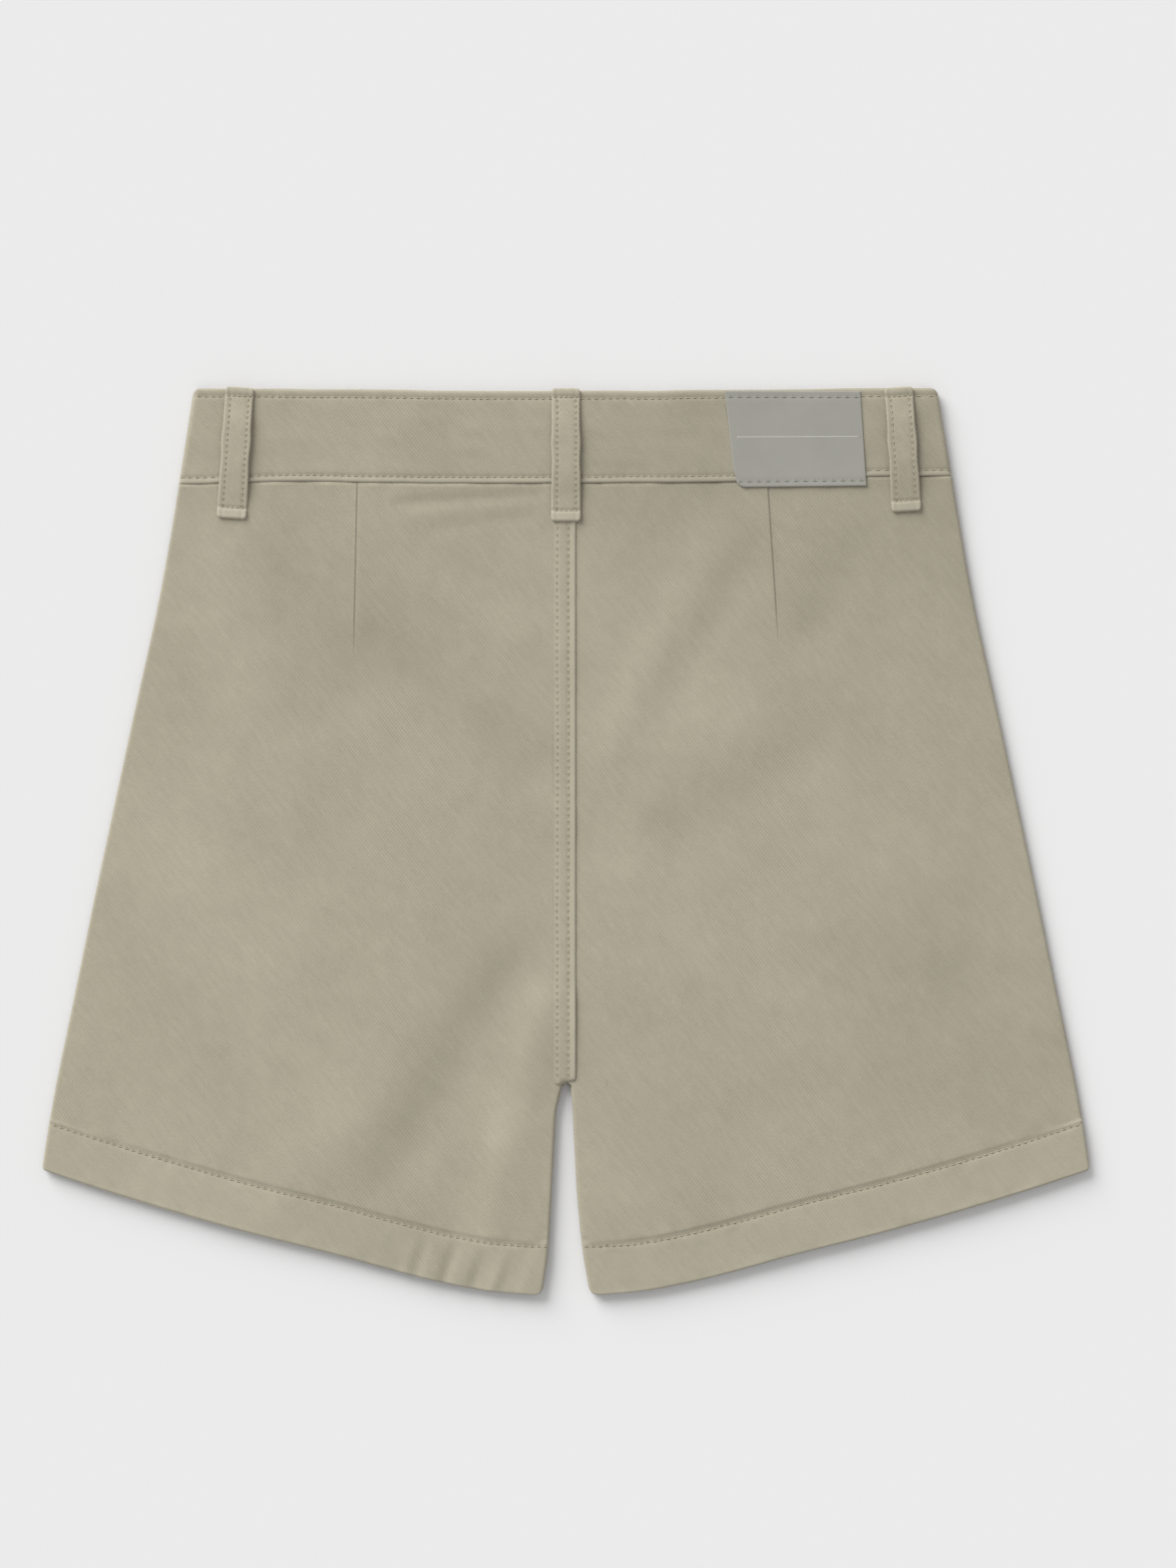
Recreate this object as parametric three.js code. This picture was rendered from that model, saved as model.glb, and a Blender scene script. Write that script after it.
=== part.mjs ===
// A high-waisted twill skort laid face down: the shorts back faces up, and the front legs and the
// front skirt lie under it. Millimetres, +X to the right, +Y towards the waist, +Z up off the floor.
import * as THREE from "three";

// Cloth
const legWall = 1.2;
const skirtWall = 1.0;
const bandWall = 2.4; // two plies and their interfacing
const loopWall = 1.6; // a strip folded in three
const labelWall = 1.0;
const fellWall = 1.0; // what the felled seam adds on top of the back
const seamGap = 0.3; // between pieces that are sewn to each other

// Garment
const crotchY = -107;
const hemCorner = { outerX: 231.2, innerX: 10.8 };
const hemDepth = 20.7;
const hemStep = 1; // half the width over which the cloth thickens at the hem
const hemExtra = { skirt: 0.5, front: 0.6, back: 0.8 }; // turned-up cloth makes the hems thicker
const topCornerRadius = 3;
const innerCornerRadius = 4.5;
const outerCornerRadius = 2;
const puff = 1.7; // how far the back stands off the front, at most
const sideRoll = 2.0; // radius of the rolled edge where the back turns under to the side seam
const rollFoot = 1.7; // width of the turned-under cloth at that edge

// The sides: half the width of the garment at heights from the hem corner to the waist
const sideStations = [
  { y: -145.0, half: 231.2 },
  { y: -113.3, half: 226.2 },
  { y: -69.3, half: 217.1 },
  { y: -25.3, half: 208.1 },
  { y: 18.7, half: 198.7 },
  { y: 62.7, half: 189.2 },
  { y: 106.7, half: 179.5 },
  { y: 158.6, half: 170.5 },
  { y: 199.4, half: 163.9 },
];

// The hem's folded edge, from the inner corner out to the side seam
const hemStations = [
  { x: 10.8, y: -200.5 },
  { x: 32.0, y: -199.2 },
  { x: 67.1, y: -192.2 },
  { x: 102.3, y: -182.6 },
  { x: 137.5, y: -173.8 },
  { x: 172.7, y: -163.9 },
  { x: 207.9, y: -152.9 },
  { x: 231.2, y: -145.0 },
];

// The inseam: how far each leg's inner edge stands from the middle
const inseamStations = [
  { y: -200.5, left: 10.8, right: 10.8 },
  { y: -184.0, left: 8.1, right: 7.7 },
  { y: -157.0, left: 6.4, right: 4.8 },
  { y: -130.0, left: 4.9, right: 3.2 },
  { y: -109.5, left: 3.4, right: 1.4 },
];

// The waistband's top edge and the seam below it, from left to right
const waistStations = [
  { x: -171, top: 199.4, seam: 156.9 },
  { x: -115, top: 199.2, seam: 158.4 },
  { x: -70, top: 198.6, seam: 157.6 },
  { x: 0, top: 198.2, seam: 157.6 },
  { x: 74, top: 198.7, seam: 158.2 },
  { x: 134, top: 199.4, seam: 160.4 },
  { x: 171, top: 199.4, seam: 160.8 },
];

// The large soft folds of the back: a line, the width it fades over, and how far it rises or sinks
const folds = [
  { fromX: -25, fromY: -60, toX: -78, toY: -146, width: 13, rise: -0.9 },
  { fromX: -8, fromY: -70, toX: -34, toY: -176, width: 11, rise: 0.6 },
  { fromX: -82, fromY: 85, toX: -16, toY: 32, width: 15, rise: -0.5 },
  { fromX: -131, fromY: 124, toX: -96, toY: 67, width: 13, rise: -0.4 },
  { fromX: -60, fromY: 112, toX: -22, toY: 92, width: 12, rise: 0.4 },
  { fromX: -162, fromY: -18, toX: -120, toY: -44, width: 18, rise: 0.5 },
  { fromX: 67, fromY: 137, toX: 19, toY: 41, width: 12, rise: 0.4 },
  { fromX: 98, fromY: 34, toX: 52, toY: 8, width: 15, rise: -0.5 },
  { fromX: 176, fromY: -60, toX: 205, toY: -130, width: 14, rise: -0.4 },
];

// Belt loops: the middle of each one's top and bottom end
const loopWidth = 12.8;
const loops = [
  { name: "loop_left", topX: -143.7, topY: 199.8, lowX: -147.4, lowY: 141.9 },
  { name: "loop_centre", topX: 0, topY: 199.3, lowX: 0, lowY: 140.6 },
  { name: "loop_right", topX: 146.6, topY: 199.8, lowX: 150.1, lowY: 145.0 },
];
const loopBow = 1.3; // air left for the belt

const label = {
  topLeft: { x: 70.0, y: 198.2 },
  topRight: { x: 129.8, y: 198.0 },
  lowLeft: { x: 74.8, y: 155.6 },
  lowRight: { x: 132.4, y: 156.4 },
};

const fell = { width: 9.2, centreX: -0.4, lowY: -106.8 };

const cloth = { color: 0xaaa390, roughness: 0.9, metalness: 0 };
const patch = { color: 0x9a9a91, roughness: 0.7, metalness: 0 };

const clamp = (value, low, high) => Math.min(Math.max(value, low), high);
const mix = (a, b, t) => a + (b - a) * t;

function smoothStep(low, high, value) {
  const t = clamp((value - low) / (high - low), 0, 1);
  return t * t * (3 - 2 * t);
}

// One column of a table at a given key, on a smooth curve through its rows.
function readTable(table, keyName, valueName, key) {
  const last = table.length - 1;
  const inRange = clamp(key, table[0][keyName], table[last][keyName]);
  let row = 0;
  while (row < last - 1 && table[row + 1][keyName] < inRange) row += 1;
  const slopeAt = (i) => {
    const before = table[Math.max(i - 1, 0)];
    const after = table[Math.min(i + 1, last)];
    return (after[valueName] - before[valueName]) / (after[keyName] - before[keyName]);
  };
  const step = table[row + 1][keyName] - table[row][keyName];
  const t = (inRange - table[row][keyName]) / step;
  const start = table[row][valueName];
  const end = table[row + 1][valueName];
  const bend = t * t * (3 - 2 * t);
  const startPull = t * (1 - t) * (1 - t) * step * slopeAt(row);
  const endPull = t * t * (t - 1) * step * slopeAt(row + 1);
  return mix(start, end, bend) + startPull + endPull;
}

// How much a rounded corner or rolled edge takes off at a distance in from its edge.
function roundOff(distance, radius) {
  if (distance >= radius) return 0;
  const across = radius - distance;
  return radius - Math.sqrt(Math.max(radius * radius - across * across, 0));
}

const halfWidth = (y) => readTable(sideStations, "y", "half", y);
const seamY = (x) => readTable(waistStations, "x", "seam", x);
const sideName = (side) => (side < 0 ? "left" : "right");

// How far the edge nearest the middle stands from x = 0: a sewn seam above the crotch, a free
// inseam below it.
function innerEdge(side, y) {
  if (y > crotchY) return seamGap / 2;
  return readTable(inseamStations, "y", sideName(side), y);
}

// Height of the hem's fold at a distance from the middle, with its two rounded corners.
function hemY(x) {
  const inner = roundOff(x - hemCorner.innerX, innerCornerRadius);
  const outer = roundOff(hemCorner.outerX - x, outerCornerRadius);
  return readTable(hemStations, "x", "y", x) + inner + outer;
}

// Height of a soft trough or ridge at a point, fading out across its width and past its ends.
function foldHeight(x, y) {
  let height = 0;
  for (const fold of folds) {
    const runX = fold.toX - fold.fromX;
    const runY = fold.toY - fold.fromY;
    const length = Math.hypot(runX, runY);
    const along = ((x - fold.fromX) * runX + (y - fold.fromY) * runY) / length;
    const across = ((x - fold.fromX) * runY - (y - fold.fromY) * runX) / length;
    const past = Math.max(-along, along - length, 0);
    const spread = (across * across + past * past) / (fold.width * fold.width);
    height += fold.rise * Math.exp(-spread);
  }
  return height;
}

// The layers of one leg at a point, from the floor up. "hem" is 1 within the turned-up hem.
function legLayers(side, x, y, hem) {
  const skirtTop = skirtWall + hemExtra.skirt * hem;
  const frontUnder = skirtTop + seamGap;
  const frontTop = frontUnder + legWall + hemExtra.front * hem;
  const fromSide = halfWidth(y) - Math.abs(x);
  const aboveCrotch = Math.max(y - crotchY, 0);
  const fromInseam = Math.hypot(Math.abs(x) - innerEdge(side, Math.min(y, crotchY)), aboveCrotch);
  const fromWaist = Math.max(seamY(x) - y, 0);
  const ends = 1 - 0.8 * Math.exp(-fromWaist / 30);
  const fill = ends * (1 - Math.exp(-fromSide / 26)) * (1 - Math.exp(-fromInseam / 22));
  const lift = Math.max(fill * (puff * (1 - 0.7 * hem) + foldHeight(x, y)), 0);
  const backUnder = frontTop + seamGap + lift;
  const backTop = backUnder + legWall + hemExtra.back * hem;
  return { skirtTop, frontUnder, frontTop, backUnder, backTop };
}

// The waistband's two layers at a point.
function bandLayers(x) {
  const fromSide = halfWidth(seamY(x)) - Math.abs(x);
  const lift = 0.6 * (1 - Math.exp(-Math.max(fromSide, 0) / 30));
  const backUnder = bandWall + seamGap + lift;
  return { frontTop: bandWall, backUnder, backTop: backUnder + bandWall };
}

// One closed wall of cloth. Rows run down it and columns across it, and every point has a top and
// an underside; "flip" is for columns that run towards -X.
function clothMesh(name, rowCount, columnCount, pointAt, finish, flip = false) {
  const positions = [];
  for (const face of ["top", "under"]) {
    for (let row = 0; row < rowCount; row += 1) {
      for (let column = 0; column < columnCount; column += 1) {
        const point = pointAt(row, column);
        positions.push(point.x, point.y, point[face]);
      }
    }
  }
  const triangles = [];
  const at = (face, row, column) => (face * rowCount + row) * columnCount + column;
  const quad = (a, b, c, d) => {
    if (flip) triangles.push(c, b, a, d, c, a);
    else triangles.push(a, b, c, a, c, d);
  };
  for (let row = 0; row < rowCount - 1; row += 1) {
    for (let column = 0; column < columnCount - 1; column += 1) {
      quad(at(0, row, column), at(0, row + 1, column), at(0, row + 1, column + 1), at(0, row, column + 1));
      quad(at(1, row, column), at(1, row, column + 1), at(1, row + 1, column + 1), at(1, row + 1, column));
    }
  }
  const rim = [];
  for (let row = 0; row < rowCount - 1; row += 1) rim.push([row, 0]);
  for (let column = 0; column < columnCount - 1; column += 1) rim.push([rowCount - 1, column]);
  for (let row = rowCount - 1; row > 0; row -= 1) rim.push([row, columnCount - 1]);
  for (let column = columnCount - 1; column > 0; column -= 1) rim.push([0, column]);
  rim.forEach(([row, column], i) => {
    const [nextRow, nextColumn] = rim[(i + 1) % rim.length];
    quad(
      at(1, row, column),
      at(1, nextRow, nextColumn),
      at(0, nextRow, nextColumn),
      at(0, row, column),
    );
  });
  const geometry = new THREE.BufferGeometry();
  geometry.setAttribute("position", new THREE.Float32BufferAttribute(positions, 3));
  geometry.setIndex(triangles);
  geometry.computeVertexNormals();
  const mesh = new THREE.Mesh(geometry, new THREE.MeshStandardMaterial(finish));
  mesh.name = name;
  return mesh;
}

// Columns across a leg: fixed distances in from the side seam and from the inner edge, and even
// shares of what is left.
function legColumns(edgeDistances, shares) {
  const columns = edgeDistances.map((distance) => ({ distance, share: 0 }));
  for (let i = 1; i < shares; i += 1) columns.push({ distance: 0, share: i / shares });
  const mirrored = [...edgeDistances].reverse();
  mirrored.forEach((distance) => columns.push({ distance: -distance, share: 1 }));
  return columns;
}

function columnX(column, outer, inner, margin) {
  if (column.share === 0) return outer - column.distance;
  if (column.share === 1) return inner - column.distance;
  return mix(outer - margin, inner + margin, column.share);
}

// Rows down a leg: shares from the waist seam to just above the hem, then distances up from its fold.
function legRows(legShares, hemDistances) {
  const rows = legShares.map((share) => ({ share }));
  hemDistances.forEach((distance) => rows.push({ distance }));
  return rows;
}

function rowY(row, waistY, foldY) {
  if (row.share === undefined) return foldY + row.distance;
  return mix(waistY, foldY + hemDepth + hemStep, row.share);
}


function evenShares(count) {
  const shares = [];
  for (let i = 0; i <= count; i += 1) shares.push(i / count);
  return shares;
}

// Two rows close together where the seam ends give each leg its corner at the crotch.
function sharesWithCrotch(count, seamEndY) {
  const waistY = seamY(0) - seamGap;
  const lineY = hemY(hemCorner.innerX + innerCornerRadius) + hemDepth + hemStep;
  const crotchShare = (waistY - seamEndY) / (waistY - lineY);
  const near = 0.6 / count;
  const kept = evenShares(count).filter((share) => Math.abs(share - crotchShare) > near);
  kept.push(crotchShare - 0.002, crotchShare + 0.006);
  return kept.sort((a, b) => a - b);
}

// One leg's piece of a layer, set in from the outline of the back by its insets.
function legPiece(name, side, columns, rows, inset, facesAt) {
  const margin = Math.max(...columns.map((column) => column.distance));
  const pointAt = (rowIndex, columnIndex) => {
    const column = columns[columnIndex];
    const row = rows[rowIndex];
    const outerHemX = hemCorner.outerX - inset.side;
    const innerHemX = hemCorner.innerX + inset.inseam;
    const foldX = columnX(column, outerHemX, innerHemX, margin);
    const foldY = hemY(foldX);
    const waistX = columnX(column, halfWidth(seamY(side * 170)), 0, margin);
    const y = rowY(row, seamY(side * waistX) - seamGap, foldY);
    const joined = y > crotchY + inset.crotch;
    const outer = halfWidth(y) - inset.side;
    const inner = joined ? seamGap / 2 : innerEdge(side, Math.min(y, crotchY)) + inset.inseam;
    const x = side * columnX(column, outer, inner, margin);
    const hem = smoothStep(hemDepth + hemStep, hemDepth - hemStep, y - foldY);
    return { x, y, ...facesAt(x, y, hem) };
  };
  return clothMesh(name, rows.length, columns.length, pointAt, cloth, side > 0);
}

// The back turns under at the side seam and at the inseam, down past the front leg's edge.
function backFaces(side, x, y, hem) {
  const layers = legLayers(side, x, y, hem);
  const fromSide = halfWidth(y) - Math.abs(x);
  const fromInseam = y > crotchY ? sideRoll : Math.abs(x) - innerEdge(side, y);
  const fromEdge = Math.min(fromSide, fromInseam);
  const top = layers.backTop - roundOff(fromEdge, sideRoll);
  const under = fromEdge < rollFoot + 0.05 ? layers.frontUnder : layers.backUnder;
  return { top, under };
}

// What each layer is set in by, so that the back covers the others; "crotch" is how far above the
// crotch its middle seam ends.
const backInset = { side: 0, inseam: 0, hem: 0, crotch: 0 };
const frontInset = { side: rollFoot + 0.7, inseam: rollFoot + 0.7, hem: 0.8, crotch: 3 };
const skirtInset = { side: 1.5, inseam: 1.5, hem: 1.6, crotch: 3 };

const hemLine = hemDepth - hemStep;
const backColumns = legColumns([0, 0.7, rollFoot, rollFoot + 0.4, 6], 13);
const backRows = legRows(sharesWithCrotch(18, crotchY), [hemLine, 10, 2, 0]);
const innerColumns = legColumns([0, 6], 10);
const innerShares = sharesWithCrotch(10, crotchY + frontInset.crotch);
const frontRows = legRows(innerShares, [hemLine, frontInset.hem]);
const skirtRows = legRows(innerShares, [hemLine, skirtInset.hem]);

function backPiece(side) {
  const facesAt = (x, y, hem) => backFaces(side, x, y, hem);
  return legPiece(`back_${sideName(side)}`, side, backColumns, backRows, backInset, facesAt);
}

function frontPiece(side) {
  const facesAt = (x, y, hem) => {
    const layers = legLayers(side, x, y, hem);
    return { top: layers.frontTop, under: layers.frontUnder };
  };
  return legPiece(`front_${sideName(side)}`, side, innerColumns, frontRows, frontInset, facesAt);
}

function skirtPiece(side) {
  const facesAt = (x, y, hem) => ({ top: legLayers(side, x, y, hem).skirtTop, under: 0 });
  return legPiece(`skirt_${sideName(side)}`, side, innerColumns, skirtRows, skirtInset, facesAt);
}

// Waistband columns: fixed distances in from both ends and even steps between them.
function bandColumnXs(edgeDistances, steps, half) {
  const margin = Math.max(...edgeDistances);
  const places = edgeDistances.map((distance) => distance - half);
  for (let i = 1; i < steps; i += 1) places.push(mix(margin - half, half - margin, i / steps));
  [...edgeDistances].reverse().forEach((distance) => places.push(half - distance));
  return places;
}

function bandPiece(name, inset, edgeDistances, steps, facesAt) {
  const seamHalf = halfWidth(seamY(0)) - inset;
  const places = bandColumnXs(edgeDistances, steps, seamHalf);
  const shares = [0, 0.03, 0.3, 0.7, 1];
  const pointAt = (row, column) => {
    const seamX = places[column];
    const corner = roundOff(seamHalf - Math.abs(seamX), topCornerRadius);
    const topY = readTable(waistStations, "x", "top", seamX) - corner - inset * 0.3;
    const y = mix(topY, seamY(seamX), shares[row]);
    const half = halfWidth(y) - inset;
    const fromEnd = seamHalf - Math.abs(seamX);
    const inward = mix(seamX, (seamX * half) / seamHalf, clamp(fromEnd / 10, 0, 1));
    const x = fromEnd < 10 ? Math.sign(seamX) * (half - fromEnd) : inward;
    return { x, y, ...facesAt(x, fromEnd, topY - y) };
  };
  return clothMesh(name, shares.length, places.length, pointAt, cloth);
}

function backBand() {
  const facesAt = (x, fromEnd, fromTop) => {
    const layers = bandLayers(x);
    const topEdge = roundOff(fromTop, 1.2) * 0.6;
    const top = layers.backTop - roundOff(fromEnd, sideRoll) - topEdge;
    const under = fromEnd < rollFoot + 0.05 ? 0.6 : layers.backUnder;
    return { top, under };
  };
  return bandPiece("back_waistband", 0, [0, 0.7, rollFoot, rollFoot + 0.4, 6], 40, facesAt);
}

function frontBand() {
  const facesAt = () => ({ top: bandWall, under: 0 });
  return bandPiece("front_waistband", rollFoot + 0.7, [0, 6], 16, facesAt);
}

// Top of the back of the garment where a belt loop lies on it: the leg or the felled seam below
// the waistband, and the waistband above.
function backSurface(x, y) {
  const legTop = legLayers(Math.sign(x) || 1, x, y, 0).backTop;
  const overFell = Math.abs(x - fell.centreX) < fell.width / 2 ? seamGap + fellWall : 0;
  const edge = seamY(x);
  return mix(legTop + overFell, bandLayers(x).backTop, smoothStep(edge - 12, edge - 4, y));
}

// A belt loop, sewn down at both ends and standing off the waistband between them.
function loopPiece(loop) {
  const shares = [0, 0.03, 0.1, 0.2, 0.33, 0.48, 0.6, 0.7, 0.75, 0.8, 0.9, 0.97, 1];
  const acrossShares = [-1, -0.82, 0, 0.82, 1];
  const length = Math.hypot(loop.topX - loop.lowX, loop.topY - loop.lowY);
  const alongX = (loop.lowX - loop.topX) / length;
  const alongY = (loop.lowY - loop.topY) / length;
  const pointAt = (row, column) => {
    const down = shares[row] * length;
    const across = (acrossShares[column] * loopWidth) / 2;
    const x = loop.topX + alongX * down - alongY * across;
    const y = loop.topY + alongY * down + alongX * across;
    const middleX = loop.topX + alongX * down;
    const bow = loopBow * smoothStep(0.03, 0.3, shares[row]) * smoothStep(0.9, 0.55, shares[row]);
    const under = backSurface(middleX, y) + seamGap + bow;
    const endDrop = roundOff(Math.min(down, length - down), 1.2) * 0.7;
    const edgeDrop = Math.abs(acrossShares[column]) === 1 ? 0.4 : 0;
    return { x, y, top: under + loopWall - endDrop - edgeDrop, under };
  };
  return clothMesh(loop.name, shares.length, acrossShares.length, pointAt, cloth);
}

// The bare patch sewn over the waistband and its seam.
function labelPiece() {
  const rowCount = 5;
  const columnCount = 7;
  const pointAt = (row, column) => {
    const downShare = row / (rowCount - 1);
    const acrossShare = column / (columnCount - 1);
    const leftX = mix(label.topLeft.x, label.lowLeft.x, downShare);
    const rightX = mix(label.topRight.x, label.lowRight.x, downShare);
    const leftY = mix(label.topLeft.y, label.lowLeft.y, downShare);
    const rightY = mix(label.topRight.y, label.lowRight.y, downShare);
    const x = mix(leftX, rightX, acrossShare);
    const y = mix(leftY, rightY, acrossShare);
    const under = bandLayers(x).backTop + seamGap;
    return { x, y, top: under + labelWall, under };
  };
  return clothMesh("label", rowCount, columnCount, pointAt, patch);
}

// The centre back seam: both allowances felled to one side in a raised strip.
function fellPiece() {
  const rowCount = 20;
  const acrossShares = [-1, -0.85, 0, 0.85, 1];
  const topY = seamY(0) - seamGap;
  const pointAt = (row, column) => {
    const y = mix(topY, fell.lowY, row / (rowCount - 1));
    const x = fell.centreX + (acrossShares[column] * fell.width) / 2;
    const leftTop = legLayers(-1, fell.centreX, y, 0).backTop;
    const rightTop = legLayers(1, -fell.centreX, y, 0).backTop;
    const under = Math.max(leftTop, rightTop) + seamGap;
    const edgeDrop = Math.abs(acrossShares[column]) === 1 ? 0.3 : 0;
    return { x, y, top: under + fellWall - edgeDrop, under };
  };
  return clothMesh("centre_back_fell", rowCount, acrossShares.length, pointAt, cloth);
}

const skort = new THREE.Group();
for (const side of [-1, 1]) {
  skort.add(skirtPiece(side), frontPiece(side), backPiece(side));
}
skort.add(frontBand(), backBand(), fellPiece(), labelPiece());
loops.forEach((loop) => skort.add(loopPiece(loop)));

export default skort;
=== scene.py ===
# A high-waisted twill skort laid face down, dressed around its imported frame.
# Cloth sizes are in millimetres and turned into metres as each mesh is made.
import math

import bpy
import numpy as np
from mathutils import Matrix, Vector


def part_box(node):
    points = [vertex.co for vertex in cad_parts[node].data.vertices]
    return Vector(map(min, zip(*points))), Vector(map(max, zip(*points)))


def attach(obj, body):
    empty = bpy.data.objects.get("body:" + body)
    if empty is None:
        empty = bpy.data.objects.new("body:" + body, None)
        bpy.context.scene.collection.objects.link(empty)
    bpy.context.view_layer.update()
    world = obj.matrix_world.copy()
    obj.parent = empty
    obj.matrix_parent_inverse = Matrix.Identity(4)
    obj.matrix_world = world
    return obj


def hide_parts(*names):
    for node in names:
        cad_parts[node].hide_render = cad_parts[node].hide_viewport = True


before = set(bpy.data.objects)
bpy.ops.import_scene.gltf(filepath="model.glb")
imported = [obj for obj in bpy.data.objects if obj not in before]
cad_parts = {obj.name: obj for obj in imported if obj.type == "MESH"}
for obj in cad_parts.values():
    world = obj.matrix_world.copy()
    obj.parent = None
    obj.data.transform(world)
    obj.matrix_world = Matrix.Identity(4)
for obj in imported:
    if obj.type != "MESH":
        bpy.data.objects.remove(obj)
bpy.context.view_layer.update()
mm = 0.001


def boxOf(node):
    low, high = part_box(node)
    return np.array(low) / mm, np.array(high) / mm


# small shaping functions


def smoothStep(low, high, value):
    t = np.clip((value - low) / (high - low), 0, 1)
    return t * t * (3 - 2 * t)


def bell(distance, width):
    return np.exp(-((distance / width) ** 2))


def roundOff(distance, radius):  # what a rounded edge takes off near it
    across = np.clip(radius - distance, 0, radius)
    return radius - np.sqrt(np.maximum(radius * radius - across * across, 0))


noiseGrid = {"cells": 64, "shift": 200.0}  # the shift keeps every place on the grid's positive side


def softNoise(x, y, size, seed):  # uneven heights from -1 to 1, about "size" across
    cells = noiseGrid["cells"]
    lattice = np.random.default_rng(seed).uniform(-1, 1, (cells, cells))
    u = np.asarray(x) / size + noiseGrid["shift"]
    v = np.asarray(y) / size + noiseGrid["shift"]
    column, row = np.floor(u).astype(int), np.floor(v).astype(int)
    s, t = smoothStep(0, 1, u - column), smoothStep(0, 1, v - row)

    def corner(right, up):
        return lattice[(column + right) % cells, (row + up) % cells]

    low = corner(0, 0) * (1 - s) + corner(1, 0) * s
    high = corner(0, 1) * (1 - s) + corner(1, 1) * s
    return low * (1 - t) + high * t


# outlines, read off the frame's own solids


def nodeEdges(node):
    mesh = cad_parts[node].data
    points = np.array([v.co for v in mesh.vertices]) / mm
    ends = np.array([e.vertices[:] for e in mesh.edges])
    return points[ends[:, 0]], points[ends[:, 1]]


def crossing(edges, axis, level):  # where a solid begins and ends along a level line
    start, end = edges
    before, after = start[:, axis] - level, end[:, axis] - level
    hit = (before * after <= 0) & (before != after)
    share = before[hit] / (before[hit] - after[hit])
    other = 1 - axis
    places = start[hit, other] + share * (end[hit, other] - start[hit, other])
    return places.min(), places.max()


def smoothed(values, reach):
    padded = np.pad(values, reach, mode="reflect", reflect_type="odd")
    kernel = np.hanning(2 * reach + 3)[1:-1]
    return np.convolve(padded, kernel / kernel.sum(), mode="valid")


crotchY = boxOf("centre_back_fell")[0][1]
legReading = {
    "sideRows": 150, "inseamRows": 60, "hemColumns": 110,  # places read along each edge
    "sideSmooth": 9, "inseamSmooth": 5, "hemSmooth": 7,  # places averaged to lose the facets
    "cornerClear": 3, "waistClear": 5, "foldClear": 9, "crotchClear": 4,  # kept clear of the corners
    "innerClear": 7, "outerClear": 3.5,
}
hemRound = {"inner": 3.6, "outer": 1.4}
crotchSpread = {-1: 1.0, 1: 1.7, "fade": 14}  # how much wider the gap's blunt top is


def legOutline(side):
    node = "back_left" if side < 0 else "back_right"
    edges, (low, high), read = nodeEdges(node), boxOf(node), legReading
    outerX = max(abs(low[0]), abs(high[0]))
    cornerY = crossing(edges, 0, side * (outerX - read["cornerClear"]))[0]
    upY = np.linspace(cornerY + read["cornerClear"], high[1] - read["waistClear"], read["sideRows"])
    sideX = np.array([max(np.abs(crossing(edges, 1, y))) for y in upY])
    inY = np.linspace(low[1] + read["foldClear"], crotchY - read["crotchClear"], read["inseamRows"])
    inseamX = np.array([min(np.abs(crossing(edges, 1, y))) for y in inY])
    slope = (inseamX[1] - inseamX[0]) / (inY[1] - inY[0])
    innerX = inseamX[0] - slope * (read["foldClear"] - 1)
    hemX = np.linspace(innerX + read["innerClear"], outerX - read["outerClear"], read["hemColumns"])
    hemY = np.array([crossing(edges, 0, side * x)[0] for x in hemX])
    return {
        "upY": upY, "sideX": smoothed(sideX, read["sideSmooth"]), "outerX": outerX, "innerX": innerX,
        "inY": inY, "inseamX": smoothed(inseamX, read["inseamSmooth"]),
        "hemX": hemX, "hemY": smoothed(hemY, read["hemSmooth"]),
    }


outlines = {side: legOutline(side) for side in (-1, 1)}


def beyond(key, keys, values):  # reads a profile, carried on straight past its ends
    inside = np.interp(key, keys, values)
    first = (values[3] - values[0]) / (keys[3] - keys[0])
    last = (values[-1] - values[-4]) / (keys[-1] - keys[-4])
    under, over = np.minimum(key - keys[0], 0), np.maximum(key - keys[-1], 0)
    return inside + first * under + last * over


def sideAt(side, y):
    return beyond(y, outlines[side]["upY"], outlines[side]["sideX"])


def inseamAt(side, y):
    lower = np.minimum(y, crotchY)
    free = beyond(lower, outlines[side]["inY"], outlines[side]["inseamX"])
    free = free + crotchSpread[side] * np.exp((lower - crotchY) / crotchSpread["fade"])
    return np.where(y > crotchY, 0.0, free)


def hemAt(side, x):
    shape = outlines[side]
    inner = roundOff(np.abs(x) - shape["innerX"], hemRound["inner"])
    outer = roundOff(shape["outerX"] - np.abs(x), hemRound["outer"])
    return beyond(np.abs(x), shape["hemX"], shape["hemY"]) + inner + outer


bandEdges = nodeEdges("back_waistband")
bandLow, bandHigh = boxOf("back_waistband")
bandReading = {"clear": 12, "places": 80, "smooth": 4, "topWave": 0.22, "seamWave": 0.18}
bandSpan = (bandLow[0] + bandReading["clear"], bandHigh[0] - bandReading["clear"])
bandX = np.linspace(*bandSpan, bandReading["places"])
bandTopY = smoothed(np.array([crossing(bandEdges, 0, x)[1] for x in bandX]), bandReading["smooth"])
bandSeamY = smoothed(np.array([crossing(bandEdges, 0, x)[0] for x in bandX]), bandReading["smooth"])


def bandTopAt(x):
    return np.interp(x, bandX, bandTopY) + bandReading["topWave"] * softNoise(x, 0 * x, 19, 91)


def seamAt(x):
    return np.interp(x, bandX, bandSeamY) + bandReading["seamWave"] * softNoise(x, 0 * x, 15, 92)


# heights of the cloth above the floor

layers = {"skirt": 1.0, "front": 2.5, "back": 4.0, "band": 5.0}

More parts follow.
